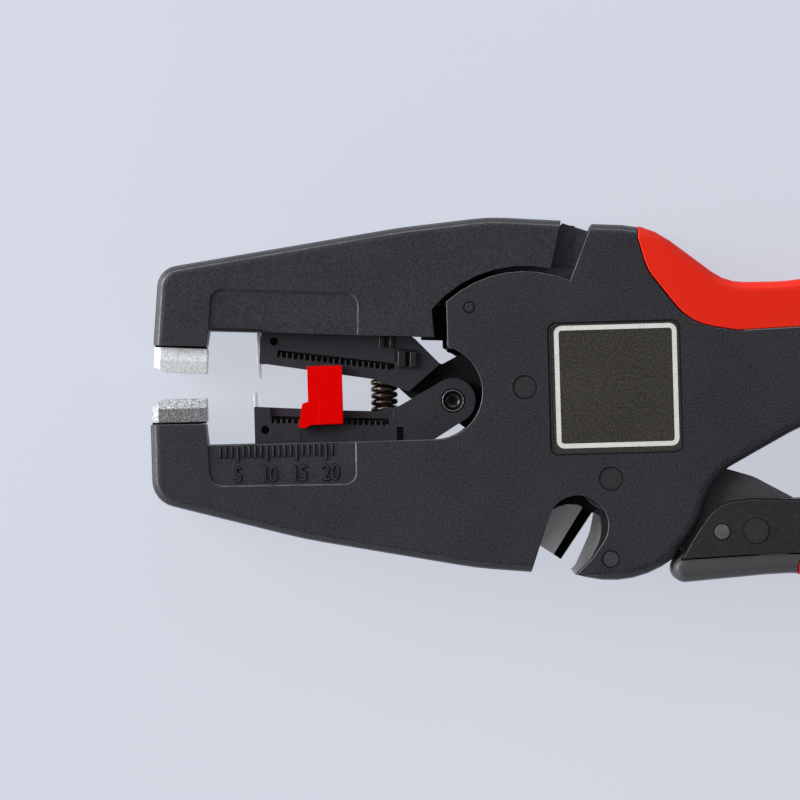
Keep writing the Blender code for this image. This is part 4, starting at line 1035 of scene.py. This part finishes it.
def notch_walls():
    """What closes the notch: a black sheet over the blades, painted as the shadow under the front shell, a
    lip beside them in the lever face's dark plastic as painted shade, a web at the back.
    """
    over_blades = 10.8
    arch = [(2.4, -21.3), (3.3, -18.9), (5.7, -17.5), (9.0, -17.5), (12.1, -18.7), (13.7, -20.7)]
    shade = [(12.24, -21.27), (11.03, -21.65), (9.41, -20.74), (8.6, -20.2), (6.74, -20.04)]
    shade += [(5.29, -20.41), (3.82, -21.1)]
    shape = bmesh.new()
    raised(shape, arch + shade, low=over_blades, high=11.6)
    bmesh.ops.recalc_face_normals(shape, faces=shape.faces)
    finished(shape, "notch_shadow", SHADOW_BLACK, "housing", "charcoal_plastic")
    steel_side = [(11.1, -21.6), (12.16, -22.15), (12.45, -24.13), (12.2, -25.8), (11.7, -27.2)]
    steel_side += [(10.4, -29.44), (7.85, -31.95)]
    wall_side = [(7.9, -32.1), (9.2, -31.8), (11.6, -29.7), (12.9, -27.5), (13.6, -25.8)]
    wall_side += [(13.85, -23.7), (13.3, -21.5), (12.1, -20.5)]
    shape = bmesh.new()
    raised(shape, steel_side + wall_side, low=over_blades, high=12.4)
    soften(shape, width=0.1)
    finished(shape, "notch_shade_lip", LEVER_FACE, "housing", "charcoal_plastic")
    tip = [(7.15, -31.2), (8.2, -30.0), (9.2, -30.6), (8.4, -31.9), (7.75, -32.1)]
    shape = bmesh.new()
    raised(shape, tip, low=6.42, high=8.36)
    soften(shape, width=0.05)
    finished(shape, "fixed_blade_tip", CUTTER_STEEL, "housing", "blade_steel")
    shape = bmesh.new()
    block(shape, (11.95, -20.15, 1.3), (3.3, 2.7, 2.0))
    soften(shape, width=0.1)
    finished(shape, "notch_web", CHARCOAL, "housing", "charcoal_plastic")


cutting_bevel()
notch_walls()


# Label plate's frame


def rounded_square(shape, side, corner, centre, z):
    """A flat square face with rounded corners."""
    corners = bmesh.ops.create_grid(shape, x_segments=1, y_segments=1, size=side / 2 * MM)["verts"]
    bmesh.ops.bevel(
        shape,
        geom=corners,
        offset=corner * MM,
        segments=6,
        profile=0.5,
        affect="VERTICES",
        clamp_overlap=True,
        material=-1,
    )
    bmesh.ops.translate(shape, verts=shape.verts, vec=(centre[0] * MM, centre[1] * MM, z * MM))


def square_frame(name, centre, side, corner, width, low, high, material, slot):
    """A thin square frame on the front, with nothing inside it."""
    shape = bmesh.new()
    rounded_square(shape, side, corner, centre, low)
    rim = bmesh.ops.inset_region(
        shape, faces=shape.faces[:], thickness=width * MM, use_boundary=True, use_even_offset=True
    )
    inside = [f for f in shape.faces if f not in rim["faces"]]
    bmesh.ops.delete(shape, geom=inside, context="FACES")
    lift(shape, shape.faces[:], high - low)
    bmesh.ops.recalc_face_normals(shape, faces=shape.faces)
    settle(piece_from(shape, name), material, "housing", slot)


def label_frames():
    """The printed frame, the plate's raised border, the black ring round it as painted shade in the joint,
    and the housing's lip.
    """
    low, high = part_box("label_plate")
    middle, plate, face = centre_of("label_plate"), (high.x - low.x) / MM, high.z / MM
    seat, shade, flush = FRONT - 0.8, FRONT - 0.14, FRONT + 0.003
    for name, centre, side, corner, width, bottom, top, material, slot in (
        ("label_frame", (15.59, -0.15), 20.8, 1.3, 0.8, face - 0.01, face + 0.03, INK, "label_grey"),
        ("label_border", middle, plate - 0.1, 1.3, 0.3, face - 0.01, face + 0.10, LABEL_GREY, "label_grey"),
        ("label_shade_ring", middle, plate + 0.7, 1.6, 0.5, seat, shade, SHADOW_BLACK, "charcoal_plastic"),
        ("label_collar", middle, plate + 1.2, 1.85, 0.45, seat, flush, CHARCOAL, "charcoal_plastic"),
    ):
        square_frame(name, centre, side, corner, width, bottom, top, material, slot)


label_frames()


# Ruler

RULER_ZERO = -53.95
RULER_TOP = -8.65
PANEL_FLOOR = 15.65
TICK_LENGTH = 1.9
FIFTH_TICK_LENGTH = 2.6
TICK_WIDTH = 0.34
NUMBER_PLACES = (("5", -49.0), ("10", -43.7), ("15", -38.6), ("20", -33.3))
NUMBER_FOOT = -14.75
NUMBER_HEIGHT = 2.7
NUMBER_NARROWING = 0.74


def ticks(name, material, broader, low, high):
    """Millimetre ticks along the stripping length, longer at every fifth."""
    shape = bmesh.new()
    for i in range(2, 22):
        reach = TICK_LENGTH if i % 5 else FIFTH_TICK_LENGTH
        middle = (RULER_ZERO + i, RULER_TOP - reach / 2, PANEL_FLOOR + (low + high) / 2)
        block(shape, middle, (TICK_WIDTH + broader, reach + broader, high - low))
    soften(shape, min(0.06, (high - low) / 4))
    finished(shape, name, material, "housing", "charcoal_plastic")


def number(name, text, x, material, broader, low, high):
    """A number that stands up from the panel floor."""
    words = bpy.data.curves.new(name, "FONT")
    words.body = text
    words.size = NUMBER_HEIGHT / 0.70 * MM
    words.align_x = "CENTER"
    words.offset = broader / 2 * MM
    words.extrude = (high - low) / 2 * MM
    words.resolution_u = 6
    words.space_character = 0.92 if "1" in text else 1.08
    mesh = mesh_of(words, name + "_words")
    mesh.transform(Matrix.Diagonal((NUMBER_NARROWING, 1.0, 1.0, 1.0)))
    place = (x * MM, NUMBER_FOOT * MM, (PANEL_FLOOR + (low + high) / 2) * MM)
    mesh.transform(Matrix.Translation(place))
    settle(placed(name, mesh), material, "housing", "charcoal_plastic")


def ruler():
    """Raised ticks and numbers, each on a slightly broader black ground that is painted shade round them."""
    for ending, material, broader, high in (("", CHARCOAL, 0.0, 0.26), ("_shade", SHADOW_BLACK, 0.30, 0.02)):
        ticks("ruler_ticks" + ending, material, broader, -0.1, high)
        for text, x in NUMBER_PLACES:
            number("ruler_" + text + ending, text, x, material, broader, -0.1, high)


ruler()


# Floor, light and camera

# The camera looks straight down from this place, in metres, and its sensor is in millimetres.
CAMERA_PLACE = (-0.02119, -0.00155)
CAMERA_OVER_TOOL = 1.5
SENSOR_WIDTH = 36.0


def backdrop():
    """A pale floor that glows a little, so its shade under the tool stays as faint as in a light tent."""
    made, tree, shader, place = finish("pale_floor", 0.9)
    cloud = speckle(tree, place, 160.0, 1.0)
    shader.inputs["Base Color"].default_value = (0.10, 0.105, 0.118, 1)
    shader.inputs["Specular IOR Level"].default_value = 0.0
    shader.inputs["Emission Strength"].default_value = 0.873
    glow = ramp(tree, cloud, [(0.3, (0.600, 0.635, 0.715, 1)), (0.7, (0.625, 0.655, 0.730, 1))])
    feed(tree, glow, shader.inputs["Emission Color"])
    shape = bmesh.new()
    bmesh.ops.create_grid(shape, x_segments=1, y_segments=1, size=1.5)
    bmesh.ops.translate(shape, verts=shape.verts, vec=(0, 0, -0.4 * MM))
    floor = piece_from(shape, "floor")
    floor.data.materials.append(made)


def tent():
    """A light tent: bright walls, brightest at the left and far side, and a dark roof round the camera."""
    world = bpy.data.worlds.new("tent")
    bpy.context.scene.world = world
    world.use_nodes = True
    tree = world.node_tree
    background = tree.nodes["Background"]
    sides = node(tree, "SeparateXYZ")
    feed(tree, node(tree, "TexCoord").outputs["Generated"], sides.inputs[0])
    rightwards, farwards, upwards = sides.outputs
    height = plus(tree, times(tree, upwards, 0.5), 0.5)
    wall, roof = (0.92, 0.95, 1.0, 1), (0.10, 0.10, 0.11, 1)
    feed(tree, ramp(tree, height, [(0.5, wall), (0.76, wall), (0.90, roof)]), background.inputs[0])
    lean = plus(tree, times(tree, rightwards, -0.62), times(tree, farwards, 0.30))
    feed(tree, plus(tree, lean, 1.0), background.inputs[1])


def soft_box(name, place, size, power):
    """A rectangular soft light that faces the tool."""
    light = bpy.data.lights.new(name, "AREA")
    light.shape = "RECTANGLE"
    light.size, light.size_y = size
    light.energy = power
    lamp = placed(name, light)
    lamp.location = place
    lamp.rotation_euler = (-Vector(place)).to_track_quat("-Z", "Y").to_euler()


def camera():
    """Looks straight down on the tool, at the picture's scale and turn."""
    data = bpy.data.cameras.new("camera")
    data.sensor_width = SENSOR_WIDTH
    data.lens = SENSOR_WIDTH * CAMERA_OVER_TOOL / (PICTURE_PIXELS / PIXELS_PER_MM * MM)
    data.clip_start = 0.05
    data.clip_end = 10.0
    made = placed("camera", data)
    made.location = (*CAMERA_PLACE, FRONT * MM + CAMERA_OVER_TOOL)
    made.rotation_euler = (0.0, 0.0, -ROLL)
    bpy.context.scene.camera = made


backdrop()
tent()
soft_box("left_wall", (-0.70, 0.22, 0.30), (0.45, 0.6), 10.0)
soft_box("far_wall", (0.1, 0.8, 0.45), (1.0, 0.4), 2.5)
camera()
bpy.context.scene.view_settings.view_transform = "Standard"
